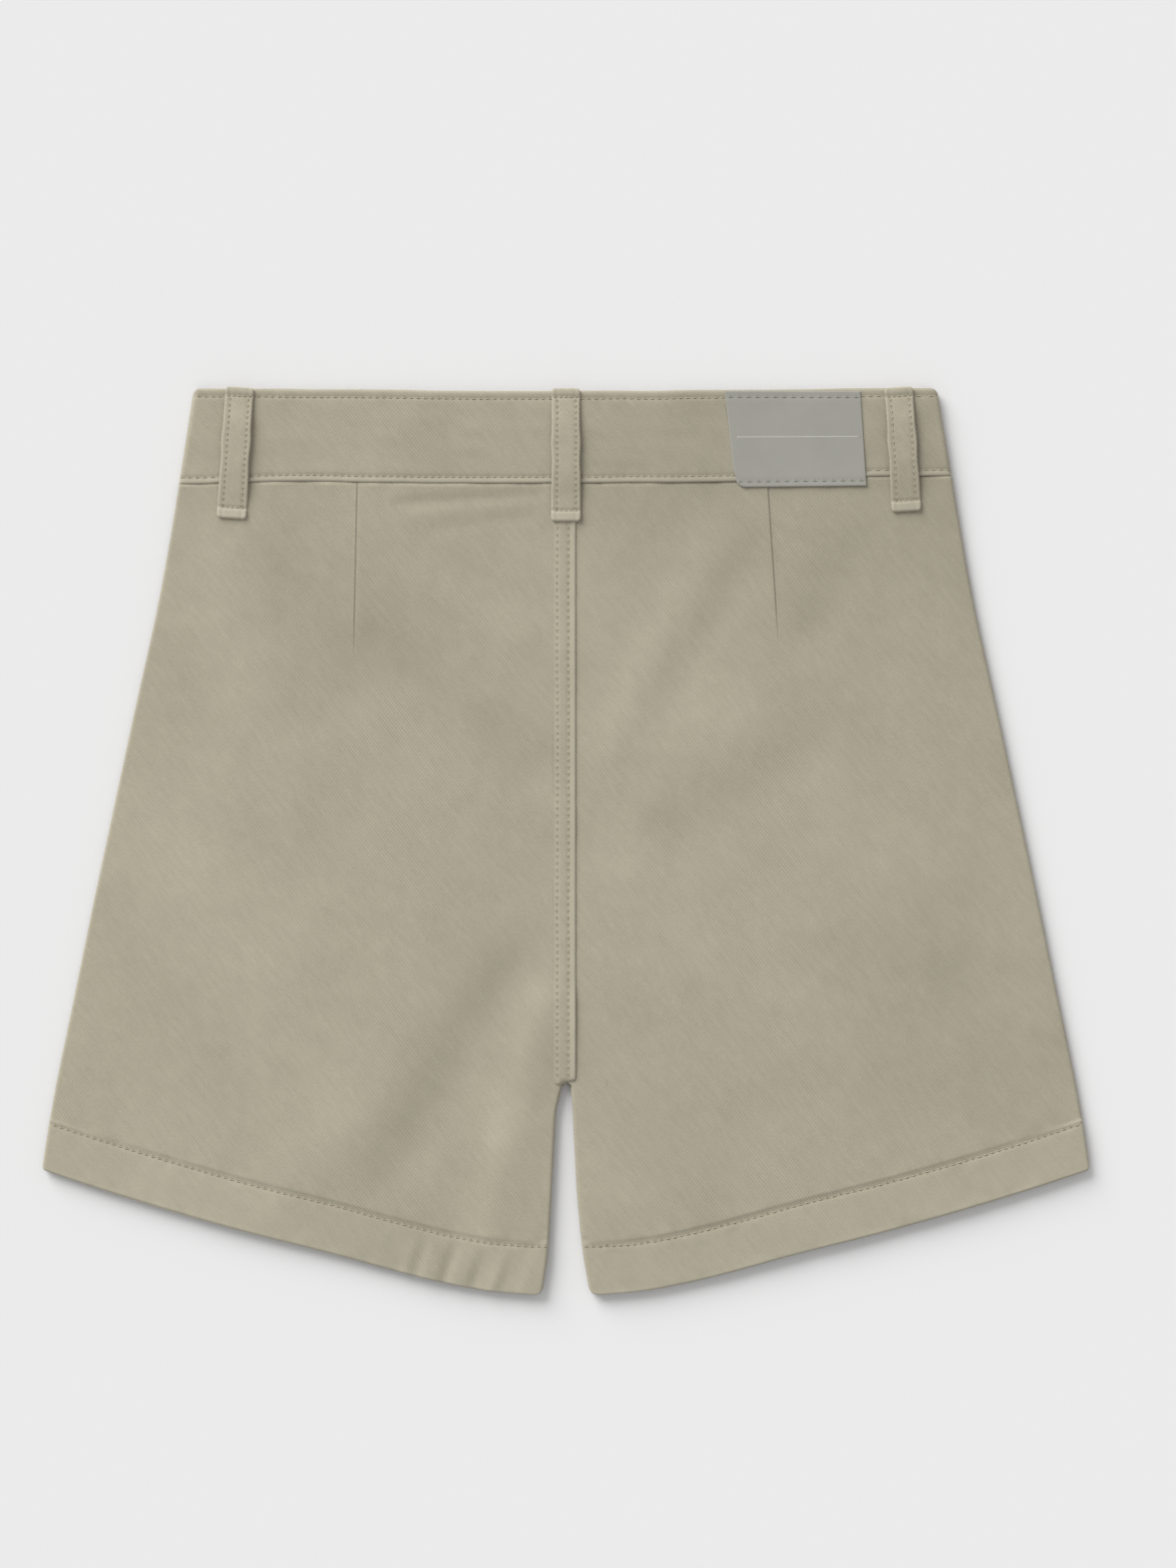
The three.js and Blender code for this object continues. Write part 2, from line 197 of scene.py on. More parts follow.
backCloth = {
    "wall": 0.9,
    "puff": 1.7,  # how far the middle of a leg stands above its edges
    "sideReach": 20,  # how far in from each edge the cloth is held down
    "inseamReach": 13,
    "waistReach": 30,
    "waistHold": 0.8,
    "inseamHold": 0.5,
    "seamLift": 0.75,  # the waist seam's allowances lift the cloth below it
    "seamReach": 14,
    "sideRoll": 1.3,
    "rollFoot": 1.1,
    "foldRoll": 0.6,
    "hemDepth": 20.7,
    "hemLean": 0.97,  # turns a height above the slanting fold into a distance from it
    "hemExtra": 0.75,
    "furrow": 0.22,
    "pucker": 0.17,
    "gather": 0.6,
    "gatherX": -47,
    "gatherReach": 34,
    "softness": 0.3,
}

# each fold: where it starts and ends, the width it fades over, how far it rises or sinks
folds = [
    {"start": (-25, -60), "end": (-78, -146), "width": 13, "rise": -1.5},
    {"start": (-10, -72), "end": (-36, -176), "width": 10, "rise": 1.2},
    {"start": (-96, -120), "end": (-128, -160), "width": 15, "rise": 0.8},
    {"start": (-82, 85), "end": (-16, 32), "width": 14, "rise": -1.1},
    {"start": (-70, 58), "end": (-14, 8), "width": 13, "rise": 0.3},
    {"start": (-131, 124), "end": (-96, 67), "width": 12, "rise": -0.8},
    {"start": (-150, 96), "end": (-122, 40), "width": 14, "rise": 0.6},
    {"start": (-60, 116), "end": (-22, 90), "width": 9, "rise": 0.7},
    {"start": (-162, -18), "end": (-120, -44), "width": 18, "rise": 0.9},
    {"start": (-196, -40), "end": (-150, -110), "width": 15, "rise": -0.3},
    {"start": (-74, 149), "end": (-12, 153), "width": 2.2, "rise": -1.2},
    {"start": (-66, 144), "end": (-24, 148), "width": 2.8, "rise": 0.6},
    {"start": (-58, 137), "end": (-16, 143), "width": 2.8, "rise": -0.4},
    {"start": (67, 137), "end": (19, 41), "width": 11, "rise": 0.8},
    {"start": (84, 128), "end": (44, 62), "width": 10, "rise": -0.6},
    {"start": (98, 34), "end": (52, 8), "width": 15, "rise": -1.0},
    {"start": (128, 130), "end": (108, 92), "width": 11, "rise": -0.8},
    {"start": (30, -20), "end": (96, -92), "width": 16, "rise": 0.7},
    {"start": (120, -30), "end": (150, -120), "width": 17, "rise": -0.6},
    {"start": (176, -60), "end": (205, -130), "width": 14, "rise": -0.8},
    {"start": (150, 60), "end": (178, -10), "width": 13, "rise": 0.6},
]

darts = [
    {"topX": -91.9, "lowX": -93.5, "lowY": 79.0},
    {"topX": 89.1, "lowX": 93.9, "lowY": 86.0},
]
dartPress = {"rise": 0.3, "edge": 1.2, "reach": 9, "fadeIn": 0.3}

# painted shade and light: patches painted darker or paler over the folds, and a broad darkening towards
# the top and the right with paler patches at the lower left: middle, reach and strength
toneAndShadeSpots = [
    {"middle": (130, 185), "reach": 85, "strength": -0.085},
    {"middle": (165, 110), "reach": 55, "strength": -0.055},
    {"middle": (52, 158), "reach": 42, "strength": -0.06},
    {"middle": (-60, 130), "reach": 60, "strength": -0.035},
    {"middle": (-50, 60), "reach": 34, "strength": -0.02},
    {"middle": (-112, 98), "reach": 26, "strength": -0.02},
    {"middle": (-140, -50), "reach": 75, "strength": 0.035},
    {"middle": (-175, -148), "reach": 36, "strength": 0.05},
    {"middle": (-58, -112), "reach": 22, "strength": -0.03},
    {"middle": (-26, -124), "reach": 15, "strength": 0.09},
    {"middle": (-72, -174), "reach": 30, "strength": -0.065},
    {"middle": (55, 60), "reach": 34, "strength": 0.035},
    {"middle": (78, 20), "reach": 24, "strength": -0.02},
    {"middle": (113, 108), "reach": 20, "strength": -0.02},
    {"middle": (60, -95), "reach": 48, "strength": -0.04},
    {"middle": (170, -80), "reach": 50, "strength": -0.06},
    {"middle": (60, -182), "reach": 30, "strength": -0.02},
]


def foldHeight(x, y):
    height = np.zeros(np.shape(x))
    for fold in folds:
        startX, startY = fold["start"]
        runX, runY = fold["end"][0] - startX, fold["end"][1] - startY
        length = math.hypot(runX, runY)
        along = ((x - startX) * runX + (y - startY) * runY) / length
        across = ((x - startX) * runY - (y - startY) * runX) / length
        past = np.maximum(np.maximum(-along, along - length), 0)
        height += fold["rise"] * bell(np.hypot(across, past), fold["width"])
    return height


def dartHeight(x, y):
    height = np.zeros(np.shape(x))
    for dart in darts:
        run = (y - dart["lowY"]) / (seamAt(dart["topX"]) - dart["lowY"])
        lineX = dart["lowX"] + (dart["topX"] - dart["lowX"]) * run
        inward = (lineX - x) * np.sign(dart["topX"])
        pressed = np.exp(-np.maximum(inward, 0) / dartPress["reach"])
        pressed = pressed * smoothStep(-dartPress["edge"], dartPress["edge"], inward)
        height += dartPress["rise"] * smoothStep(0.0, dartPress["fadeIn"], run) * pressed
    return height


# broad and fine are the cloth's random uneven tone; folds paints shade into the fold troughs and a
# highlight onto the fold ridges
toneAndShadeShares = {"broad": 0.025, "fine": 0.018, "folds": 0.045}


# the cloth's random uneven tone plus painted shade and light: darker in fold troughs, paler on fold
# ridges, and the painted patches listed above
def toneAndShadeAt(x, y):  # how much darker or paler the cloth is than its middle colour
    tone = toneAndShadeShares["broad"] * softNoise(x, y, 30, 81)
    tone = tone + toneAndShadeShares["fine"] * softNoise(x + 0.5 * y, y, 11, 82)
    tone = tone + toneAndShadeShares["folds"] * foldHeight(x, y)
    for spot in toneAndShadeSpots:
        middleX, middleY = spot["middle"]
        tone = tone + spot["strength"] * bell(np.hypot(x - middleX, y - middleY), spot["reach"])
    return tone


def backHeight(side, x, y):  # top of the back's cloth, with its seams, hem and folds
    aboveCrotch = np.maximum(y - crotchY, 0)
    fromSide = np.maximum(sideAt(side, y) - np.abs(x), 0)
    gap = np.abs(x) - inseamAt(side, np.minimum(y, crotchY))
    fromInseam = np.hypot(gap, aboveCrotch)
    fromWaist = np.maximum(seamAt(x) - y, 0)
    fromFold = (y - hemAt(side, x)) * backCloth["hemLean"]
    row = fromFold - backCloth["hemDepth"]
    hem = smoothStep(2.6, 1.2, row)
    # held down at the waist, the side and the inseam, full in between
    fill = 1 - backCloth["waistHold"] * np.exp(-fromWaist / backCloth["waistReach"])
    fill = fill * (1 - np.exp(-fromSide / backCloth["sideReach"]))
    fill = fill * (1 - backCloth["inseamHold"] * np.exp(-fromInseam / backCloth["inseamReach"]))
    height = layers["back"] + fill * (backCloth["puff"] * (1 - 0.7 * hem) + foldHeight(x, y))
    # unevenness in three sizes, the finest everywhere
    height += backCloth["softness"] * fill * softNoise(x, y, 34, 3)
    height += 0.4 * backCloth["softness"] * fill * softNoise(x + 0.6 * y, 0.5 * y, 11, 4)
    height += 0.15 * backCloth["softness"] * softNoise(x, y, 5, 5)
    height += dartHeight(x, y)
    # the doubled hem, its stitch furrow, and what the stitches and the turning pull up
    height += hem * backCloth["hemExtra"] - backCloth["furrow"] * bell(row, 0.9)
    ripple = softNoise(x, y, 5.5, 8) + 0.5 * softNoise(x, y, 2.6, 9)
    height += backCloth["pucker"] * ripple * bell(row, 6)
    height += backCloth["pucker"] * ripple * bell(fromFold, 7)
    gathers = softNoise(x - 0.35 * y, 0 * y, 4.6, 10) * (x < 0)
    gathers = gathers * bell(x - backCloth["gatherX"], backCloth["gatherReach"])
    height += backCloth["gather"] * gathers * smoothStep(backCloth["hemDepth"] + 4, 6, fromFold)
    height += backCloth["pucker"] * 1.3 * softNoise(x, 0 * y, 6.5, 12) * np.exp(-fromWaist / 7)
    height += backCloth["seamLift"] * np.exp(-fromWaist / backCloth["seamReach"])
    height -= roundOff(fromFold, backCloth["foldRoll"])
    edge = np.where(y > crotchY, fromSide, np.minimum(fromSide, np.maximum(gap, 0)))
    return height - roundOff(edge, backCloth["sideRoll"])


bandCloth = {
    "wall": 1.6,
    "topRow": 3.5,
    "lowRow": 2.9,
    "furrow": 0.24,
    "pucker": 0.16,
    "puff": 0.6,
    "lean": 6.6,  # how far in its sides lean by the top edge
    "deep": 41.0,
    "corner": 3.2,
    "seamRidge": 0.15,
    "topRoll": 1.3,
    "lowRoll": 0.75,
    "endRoll": 2.0,
    "endFoot": 0.6,
}


def bandHeight(x, y):
    half = np.where(x < 0, -bandLow[0], bandHigh[0])
    fromEnd = half - np.abs(x) - (y - seamAt(x)) * bandCloth["lean"] / bandCloth["deep"]
    fromTop, fromLow = bandTopAt(x) - y, y - seamAt(x)
    height = layers["band"] + bandCloth["puff"] * (1 - np.exp(-np.maximum(fromEnd, 0) / 30))
    for distance in (fromTop - bandCloth["topRow"], fromLow - bandCloth["lowRow"]):
        ripple = softNoise(x, 0 * y, 3.3, 21) + 0.6 * softNoise(x, y, 6, 22)
        height -= bandCloth["furrow"] * bell(distance, 0.85)
        height += bandCloth["pucker"] * ripple * bell(distance, 3.2)
    height += bandCloth["seamRidge"] * bell(fromLow - 1.2, 0.9)
    height += 0.3 * softNoise(x - 0.8 * y, y, 24, 23) + 0.13 * softNoise(x + y, 2.2 * y, 10, 24)
    height -= roundOff(fromTop, bandCloth["topRoll"]) + 0.8 * roundOff(fromLow, bandCloth["lowRoll"])
    return height - roundOff(np.maximum(fromEnd, 0), bandCloth["endRoll"])


fellShape = {
    "left": -5.4,
    "right": 4.4,
    "rows": (-3.9, 0.9),
    "rise": 0.65,
    "foot": 0.12,
    "furrow": 0.2,
    "ridgeX": 3.3,
    "ridge": 0.18,
    "endSlant": 0.32,
}


def fellHeight(x, y):  # how far the felled seam stands above the back
    lead = smoothStep(fellShape["left"], fellShape["left"] + 2.2, x)
    height = fellShape["foot"] + (fellShape["rise"] - fellShape["foot"]) * lead
    for row in fellShape["rows"]:
        height = height - fellShape["furrow"] * bell(x - row, 0.7)
    height = height + fellShape["ridge"] * bell(x - fellShape["ridgeX"], 0.8)
    height = height + 0.07 * softNoise(x, y, 4.2, 31) * lead
    return height - roundOff(fellShape["right"] - x, 0.6)


# meshes


def meshObject(name, points, faces, material):
    mesh = bpy.data.meshes.new(name)
    mesh.from_pydata([tuple(p) for p in points * mm], [], faces)
    mesh.materials.append(material)
    mesh.polygons.foreach_set("use_smooth", [True] * len(mesh.polygons))
    mesh.update()
    made = bpy.data.objects.new(name, mesh)
    bpy.context.scene.collection.objects.link(made)
    return made


def clothWall(name, x, y, top, under, material, wear=None):
    # one closed wall: rows run down the cloth, columns across it
    rowCount, columnCount = x.shape
    layer = rowCount * columnCount
    points = np.concatenate(
        [np.stack([x, y, top], -1).reshape(-1, 3), np.stack([x, y, under], -1).reshape(-1, 3)]
    )
    index = np.arange(layer).reshape(rowCount, columnCount)
    a, b, c, d = index[:-1, :-1], index[1:, :-1], index[1:, 1:], index[:-1, 1:]
    upper = np.stack([a, b, c, d], -1).reshape(-1, 4)
    lower = np.stack([a, d, c, b], -1).reshape(-1, 4) + layer
    rim = np.concatenate([index[:-1, 0], index[-1, :-1], index[:0:-1, -1], index[0, :0:-1]])
    after = np.roll(rim, -1)
    sides = np.stack([rim + layer, after + layer, after, rim], -1)
    faces = np.concatenate([upper, lower, sides])
    if x[0, 0] > x[0, -1]:  # columns that run to the left turn every face round
        faces = faces[:, ::-1]
    made = meshObject(name, points, faces.tolist(), material)
    layerWear = np.zeros(layer) if wear is None else np.clip(wear, 0, 1).reshape(-1)
    # the tone attribute carries painted shade and light along with the cloth's random uneven tone
    tone = toneAndShadeAt(x, y).reshape(-1)
    for label, values in (("wear", layerWear), ("tone", tone)):
        attribute = made.data.attributes.new(label, "FLOAT", "POINT")
        attribute.data.foreach_set("value", np.concatenate([values, values]))
    return made


# materials

twillLook = {
    "color": (0.402, 0.366, 0.277),
    "deep": (0.335, 0.303, 0.226),
    "worn": (0.470, 0.435, 0.341),
    "roughness": 0.88,
    "linePitch": 1.17,
    "lineLean": 52.0,
    "lineShade": 0.3,
    "mottle": 0.75,
    "bumpStrength": 0.75,
    "bumpDistance": 0.2,
    "dartWide": 0.7,
    "dartShade": 0.3,
    "dartDeep": 1.6,
}


def nodeGroup(name, inputs, outputs):
    tree = bpy.data.node_groups.new(name, "ShaderNodeTree")
    for label, kind, value in inputs:
        socket = tree.interface.new_socket(label, in_out="INPUT", socket_type=kind)
        if value is not None:
            socket.default_value = value
    for label, kind in outputs:
        tree.interface.new_socket(label, in_out="OUTPUT", socket_type=kind)
    return tree, tree.nodes.new("NodeGroupInput"), tree.nodes.new("NodeGroupOutput")


def mathNode(tree, operation, first, second=None, third=None):
    node = tree.nodes.new("ShaderNodeMath")
    node.operation = operation
    for socket, value in zip(node.inputs, (first, second, third)):
        if value is None:
            continue
        if isinstance(value, (int, float)):
            socket.default_value = value
        else:
            tree.links.new(value, socket)
    return node.outputs[0]


def makeTwillWeave():
    # raised diagonal lines crossed by finer threads, patchy in strength
    tree, given, result = nodeGroup(
        "twillWeave",
        [
            ("Vector", "NodeSocketVector", None),
            ("Pitch", "NodeSocketFloat", 0.00117),
            ("Lean", "NodeSocketFloat", 0.9),
        ],
        [("Lines", "NodeSocketFloat"), ("Height", "NodeSocketFloat")],
    )
    turn = tree.nodes.new("ShaderNodeVectorRotate")
    turn.rotation_type = "Z_AXIS"
    tree.links.new(given.outputs["Vector"], turn.inputs["Vector"])
    tree.links.new(given.outputs["Lean"], turn.inputs["Angle"])
    wander = tree.nodes.new("ShaderNodeTexNoise")
    wander.inputs["Scale"].default_value = 160.0
    wander.inputs["Detail"].default_value = 1.0
    tree.links.new(given.outputs["Vector"], wander.inputs["Vector"])
    split = tree.nodes.new("ShaderNodeSeparateXYZ")
    tree.links.new(turn.outputs["Vector"], split.inputs[0])
    across = mathNode(tree, "DIVIDE", split.outputs["Y"], given.outputs["Pitch"])
    drift = mathNode(tree, "MULTIPLY_ADD", wander.outputs["Fac"], 0.55, across)
    lines = mathNode(tree, "SINE", mathNode(tree, "MULTIPLY", drift, 2 * math.pi))
    along = mathNode(tree, "DIVIDE", split.outputs["X"], given.outputs["Pitch"])
    threads = mathNode(tree, "SINE", mathNode(tree, "MULTIPLY", along, 4.6 * math.pi))
    patch = tree.nodes.new("ShaderNodeTexNoise")
    patch.inputs["Scale"].default_value = 34.0
    patch.inputs["Detail"].default_value = 2.0
    tree.links.new(given.outputs["Vector"], patch.inputs["Vector"])
    strength = mathNode(tree, "MULTIPLY_ADD", patch.outputs["Fac"], 1.6, -0.25)
    strength = mathNode(tree, "MAXIMUM", strength, 0.15)
    body = mathNode(tree, "MULTIPLY_ADD", threads, 0.3, lines)
    body = mathNode(tree, "MULTIPLY", body, strength)
    streak = tree.nodes.new("ShaderNodeTexNoise")
    streak.inputs["Scale"].default_value = 1.0
    streak.inputs["Detail"].default_value = 2.0
    stretched = tree.nodes.new("ShaderNodeCombineXYZ")
    tree.links.new(mathNode(tree, "MULTIPLY", split.outputs["X"], 90.0), stretched.inputs["X"])
    tree.links.new(mathNode(tree, "MULTIPLY", split.outputs["Y"], 520.0), stretched.inputs["Y"])
    tree.links.new(stretched.outputs[0], streak.inputs["Vector"])
    centred = mathNode(tree, "SUBTRACT", streak.outputs["Fac"], 0.5)
    body = mathNode(tree, "MULTIPLY_ADD", centred, 1.5, body)
    half = mathNode(tree, "MULTIPLY_ADD", body, 0.35, 0.5)
    tree.links.new(half, result.inputs["Lines"])
    tree.links.new(half, result.inputs["Height"])
    return tree


def makeWashedTone():
    # broad uneven fading with a finer fleck, as garment washing leaves
    tree, given, result = nodeGroup(
        "washedTone",
        [("Vector", "NodeSocketVector", None), ("Amount", "NodeSocketFloat", 0.4)],
        [("Tone", "NodeSocketFloat")],
    )
    parts = []
    for scale, detail in ((14.0, 3.0), (120.0, 2.0), (1100.0, 1.0)):
        noise = tree.nodes.new("ShaderNodeTexNoise")
        noise.inputs["Scale"].default_value = scale
        noise.inputs["Detail"].default_value = detail
        tree.links.new(given.outputs["Vector"], noise.inputs["Vector"])
        parts.append(noise.outputs["Fac"])
    broad, middle, fleck = parts
    mixed = mathNode(tree, "MULTIPLY_ADD", middle, 0.35, mathNode(tree, "MULTIPLY", broad, 0.65))
    mixed = mathNode(tree, "MULTIPLY_ADD", fleck, 0.9, mixed)
    centred = mathNode(tree, "SUBTRACT", mixed, 0.95)
    tone = mathNode(tree, "MULTIPLY", centred, given.outputs["Amount"])
    tone = mathNode(tree, "MULTIPLY_ADD", tone, 2.0, 0.5)
    tree.links.new(tone, result.inputs["Tone"])
    return tree


lineSizes = ("Low X", "Low Y", "Top X", "Top Y", "Width")


def makePressedLine():
    # a thin seam pressed into the cloth, fading out at its low end
    tree, given, result = nodeGroup(
        "pressedLine",
        [("Vector", "NodeSocketVector", None)] + [(label, "NodeSocketFloat", 0.0) for label in lineSizes],
        [("Line", "NodeSocketFloat")],
    )
    lowX, lowY, topX, topY, width = (given.outputs[label] for label in lineSizes)
    split = tree.nodes.new("ShaderNodeSeparateXYZ")
    tree.links.new(given.outputs["Vector"], split.inputs[0])
    rise = mathNode(tree, "SUBTRACT", split.outputs["Y"], lowY)
    run = mathNode(tree, "DIVIDE", rise, mathNode(tree, "SUBTRACT", topY, lowY))
    lineX = mathNode(tree, "MULTIPLY_ADD", run, mathNode(tree, "SUBTRACT", topX, lowX), lowX)
    away = mathNode(tree, "ABSOLUTE", mathNode(tree, "SUBTRACT", split.outputs["X"], lineX))
    near = mathNode(tree, "SUBTRACT", 1.0, mathNode(tree, "DIVIDE", away, width))
    fade = mathNode(tree, "MAXIMUM", mathNode(tree, "MULTIPLY", run, 4.0), 0.0)
    fade = mathNode(tree, "MINIMUM", fade, 1.0)
    line = mathNode(tree, "MULTIPLY", mathNode(tree, "MAXIMUM", near, 0.0), fade)
    tree.links.new(line, result.inputs["Line"])
    return tree


twillWeave = makeTwillWeave()
washedTone = makeWashedTone()
pressedLine = makePressedLine()


def groupNode(tree, group):
    node = tree.nodes.new("ShaderNodeGroup")
    node.node_tree = group
    return node


def mixColor(tree, factor, first, second, blend="MIX"):
    node = tree.nodes.new("ShaderNodeMix")
    node.data_type = "RGBA"
    node.blend_type = blend
    byName = {socket.identifier: socket for socket in node.inputs}
    labels = ("Factor_Float", "A_Color", "B_Color")
    for label, value in zip(labels, (factor, first, second)):
        socket = byName[label]
        if isinstance(value, tuple):
            socket.default_value = (*value, 1)
        elif isinstance(value, (int, float)):
            socket.default_value = value
        else:
            tree.links.new(value, socket)
    return node.outputs[2]


def makeTwill(name, lean, lift=1.0, pressed=()):
    material = bpy.data.materials.new(name)
    material.use_nodes = True
    tree = material.node_tree
    shader = tree.nodes["Principled BSDF"]
    place = tree.nodes.new("ShaderNodeTexCoord").outputs["Object"]
    weave = groupNode(tree, twillWeave)
    weave.inputs["Pitch"].default_value = twillLook["linePitch"] * mm
    weave.inputs["Lean"].default_value = math.radians(lean)
    wash = groupNode(tree, washedTone)
    wash.inputs["Amount"].default_value = twillLook["mottle"]
    tree.links.new(place, weave.inputs["Vector"])
    tree.links.new(place, wash.inputs["Vector"])
    wear = tree.nodes.new("ShaderNodeAttribute")
    wear.attribute_name = "wear"
    deep, middle, worn = [
        tuple(channel * lift for channel in twillLook[key]) for key in ("deep", "color", "worn")
    ]
    base = mixColor(tree, wash.outputs["Tone"], deep, worn)
    base = mixColor(tree, 0.62, base, middle)
    lineShade = twillLook["lineShade"]
    lines = mathNode(tree, "MULTIPLY_ADD", weave.outputs["Lines"], lineShade, 1 - lineShade / 2)
    base = mixColor(tree, 1.0, base, lines, "MULTIPLY")
    base = mixColor(tree, wear.outputs["Fac"], base, worn)
    # multiplies in the tone attribute: painted shade and light along with the cloth's random uneven tone
    tone = tree.nodes.new("ShaderNodeAttribute")
    tone.attribute_name = "tone"
    base = mixColor(tree, 1.0, base, mathNode(tree, "ADD", tone.outputs["Fac"], 1.0), "MULTIPLY")
    height = weave.outputs["Height"]
    for dart in pressed:
        line = groupNode(tree, pressedLine)
        tree.links.new(place, line.inputs["Vector"])
        topY = float(seamAt(dart["topX"]))
        sizes = (dart["lowX"], dart["lowY"], dart["topX"], topY, twillLook["dartWide"])
        for label, value in zip(lineSizes, sizes):
            line.inputs[label].default_value = value * mm
        shade = mathNode(tree, "MULTIPLY_ADD", line.outputs["Line"], -twillLook["dartShade"], 1.0)
        base = mixColor(tree, 1.0, base, shade, "MULTIPLY")
        height = mathNode(tree, "MULTIPLY_ADD", line.outputs["Line"], -twillLook["dartDeep"], height)
    tree.links.new(base, shader.inputs["Base Color"])
    bump = tree.nodes.new("ShaderNodeBump")
    bump.inputs["Strength"].default_value = twillLook["bumpStrength"]
    bump.inputs["Distance"].default_value = twillLook["bumpDistance"] * mm
    tree.links.new(height, bump.inputs["Height"])
    tree.links.new(bump.outputs["Normal"], shader.inputs["Normal"])
    shader.inputs["Roughness"].default_value = twillLook["roughness"]
    shader.inputs["Specular IOR Level"].default_value = 0.25
    shader.inputs["Sheen Weight"].default_value = 0.12
    shader.inputs["Sheen Roughness"].default_value = 0.5
    return material


twill = makeTwill("khakiTwill", twillLook["lineLean"])
dartTwill = makeTwill("dartedTwill", twillLook["lineLean"], pressed=darts)
loopTwill = makeTwill("loopTwill", twillLook["lineLean"] + 8, 1.06)


def makePlain(name, color, roughness, fleck=0.12, scale=700.0):
    material = bpy.data.materials.new(name)
    material.use_nodes = True
    tree = material.node_tree
    shader = tree.nodes["Principled BSDF"]
    place = tree.nodes.new("ShaderNodeTexCoord").outputs["Object"]
    noise = tree.nodes.new("ShaderNodeTexNoise")
    noise.inputs["Scale"].default_value = scale
    noise.inputs["Detail"].default_value = 3.0
    tree.links.new(place, noise.inputs["Vector"])
    darker = tuple(channel * (1 - fleck) for channel in color)
    lighter = tuple(channel * (1 + fleck) for channel in color)
    base = mixColor(tree, noise.outputs["Fac"], darker, lighter)
    tree.links.new(base, shader.inputs["Base Color"])
    bump = tree.nodes.new("ShaderNodeBump")
    bump.inputs["Strength"].default_value = 0.2
    bump.inputs["Distance"].default_value = 0.0001
    tree.links.new(noise.outputs["Fac"], bump.inputs["Height"])
    tree.links.new(bump.outputs["Normal"], shader.inputs["Normal"])
    shader.inputs["Roughness"].default_value = roughness
    shader.inputs["Specular IOR Level"].default_value = 0.3
    return material


thread = makePlain("thread", (0.43, 0.392, 0.298), 0.8)
# needle-hole dots: a dark colour that paints the shade where the thread dives into the cloth
needleHoleShade = makePlain("needleHoleShade", (0.165, 0.142, 0.094), 0.95)
patchFace = makePlain("patchFace", (0.338, 0.331, 0.293), 0.62, 0.08, 60.0)
patchRule = makePlain("patchRule", (0.44, 0.44, 0.40), 0.6)
# the patch's needle-hole dots: painted shade where its thread dives in
patchHoleShade = makePlain("patchHoleShade", (0.14, 0.14, 0.12), 0.9)
print("materials ready")

# the back

edgeSteps = np.array([0, 0.12, 0.3, 0.6, 1.0, 1.5, 2.1, 3.0, 4.5])  # close columns where an edge rolls


def legGrid(side, columnCount, rowCount, inset, hemRows):
    shares = np.linspace(0, 1, columnCount)[1:-1]
    shape, last = outlines[side], edgeSteps[-1]

    def across(outer, inner):
        outer, inner = outer[..., None], inner[..., None]
        middle = outer - last + (inner - outer + 2 * last) * shares
        return np.concatenate([outer - edgeSteps, middle, inner + edgeSteps[::-1]], -1)

    foldX = across(np.array([shape["outerX"] - inset]), np.array([shape["innerX"] + inset]))[0]
    foldY = hemAt(side, foldX)
    waistX = across(sideAt(side, seamAt(side * 165)) * np.ones(1), np.zeros(1))[0]
    waistY = seamAt(side * waistX) - 0.1
    upper = np.linspace(0, 1, rowCount)[:, None]
    y = waistY + (foldY + hemRows[0] - waistY) * upper
    y = np.concatenate([y] + [foldY[None] + distance for distance in hemRows[1:]])
    # each column keeps its place between the side and the inner edge at its own height
    outer = sideAt(side, y) - inset
    inner = np.where(y > crotchY, 0, inseamAt(side, y) + inset)
    x = np.empty_like(y)
    for column in range(y.shape[1]):
        x[:, column] = across(outer[:, column], inner[:, column])[:, column]
    return side * x, y


# rows of the mesh above the hem's fold, closest at the stitch line and at the fold
hemRows = [26, 25, 24, 23.4, 22.8, 22.2, 21.7, 21.2, 20.7, 20.2, 19.7, 19, 18, 16.5, 15]
hemRows += [13, 11, 9, 7, 5, 3.5, 2.4, 1.6, 1.0, 0.6, 0.3, 0.1, 0]


backWear = {"fold": 0.42, "hem": 0.20}


def makeBack(side):
    name = "backLeft" if side < 0 else "backRight"
    x, y = legGrid(side, 130, 180, 0, hemRows)
    top = backHeight(side, x, y)
    fromSide = sideAt(side, y) - np.abs(x)
    gap = np.where(y > crotchY, np.inf, np.abs(x) - inseamAt(side, y))
    edge = np.minimum(fromSide, gap)
    under = np.where(edge < backCloth["rollFoot"], layers["skirt"] + 0.3, top - backCloth["wall"])
    under = np.minimum(under, top - 0.3)
    fromFold = y - hemAt(side, x)
    ripple = 0.6 + 0.4 * softNoise(x, y, 5, 41)
    wear = backWear["fold"] * bell(fromFold - 0.5, 1.6) * ripple
    aboveRow = fromFold - backCloth["hemDepth"]
    wear = wear + backWear["hem"] * smoothStep(1, -1, aboveRow)
    return clothWall(name, x, y, top, under, dartTwill, wear)


backPieces = {side: makeBack(side) for side in (-1, 1)}
print("back panels made")


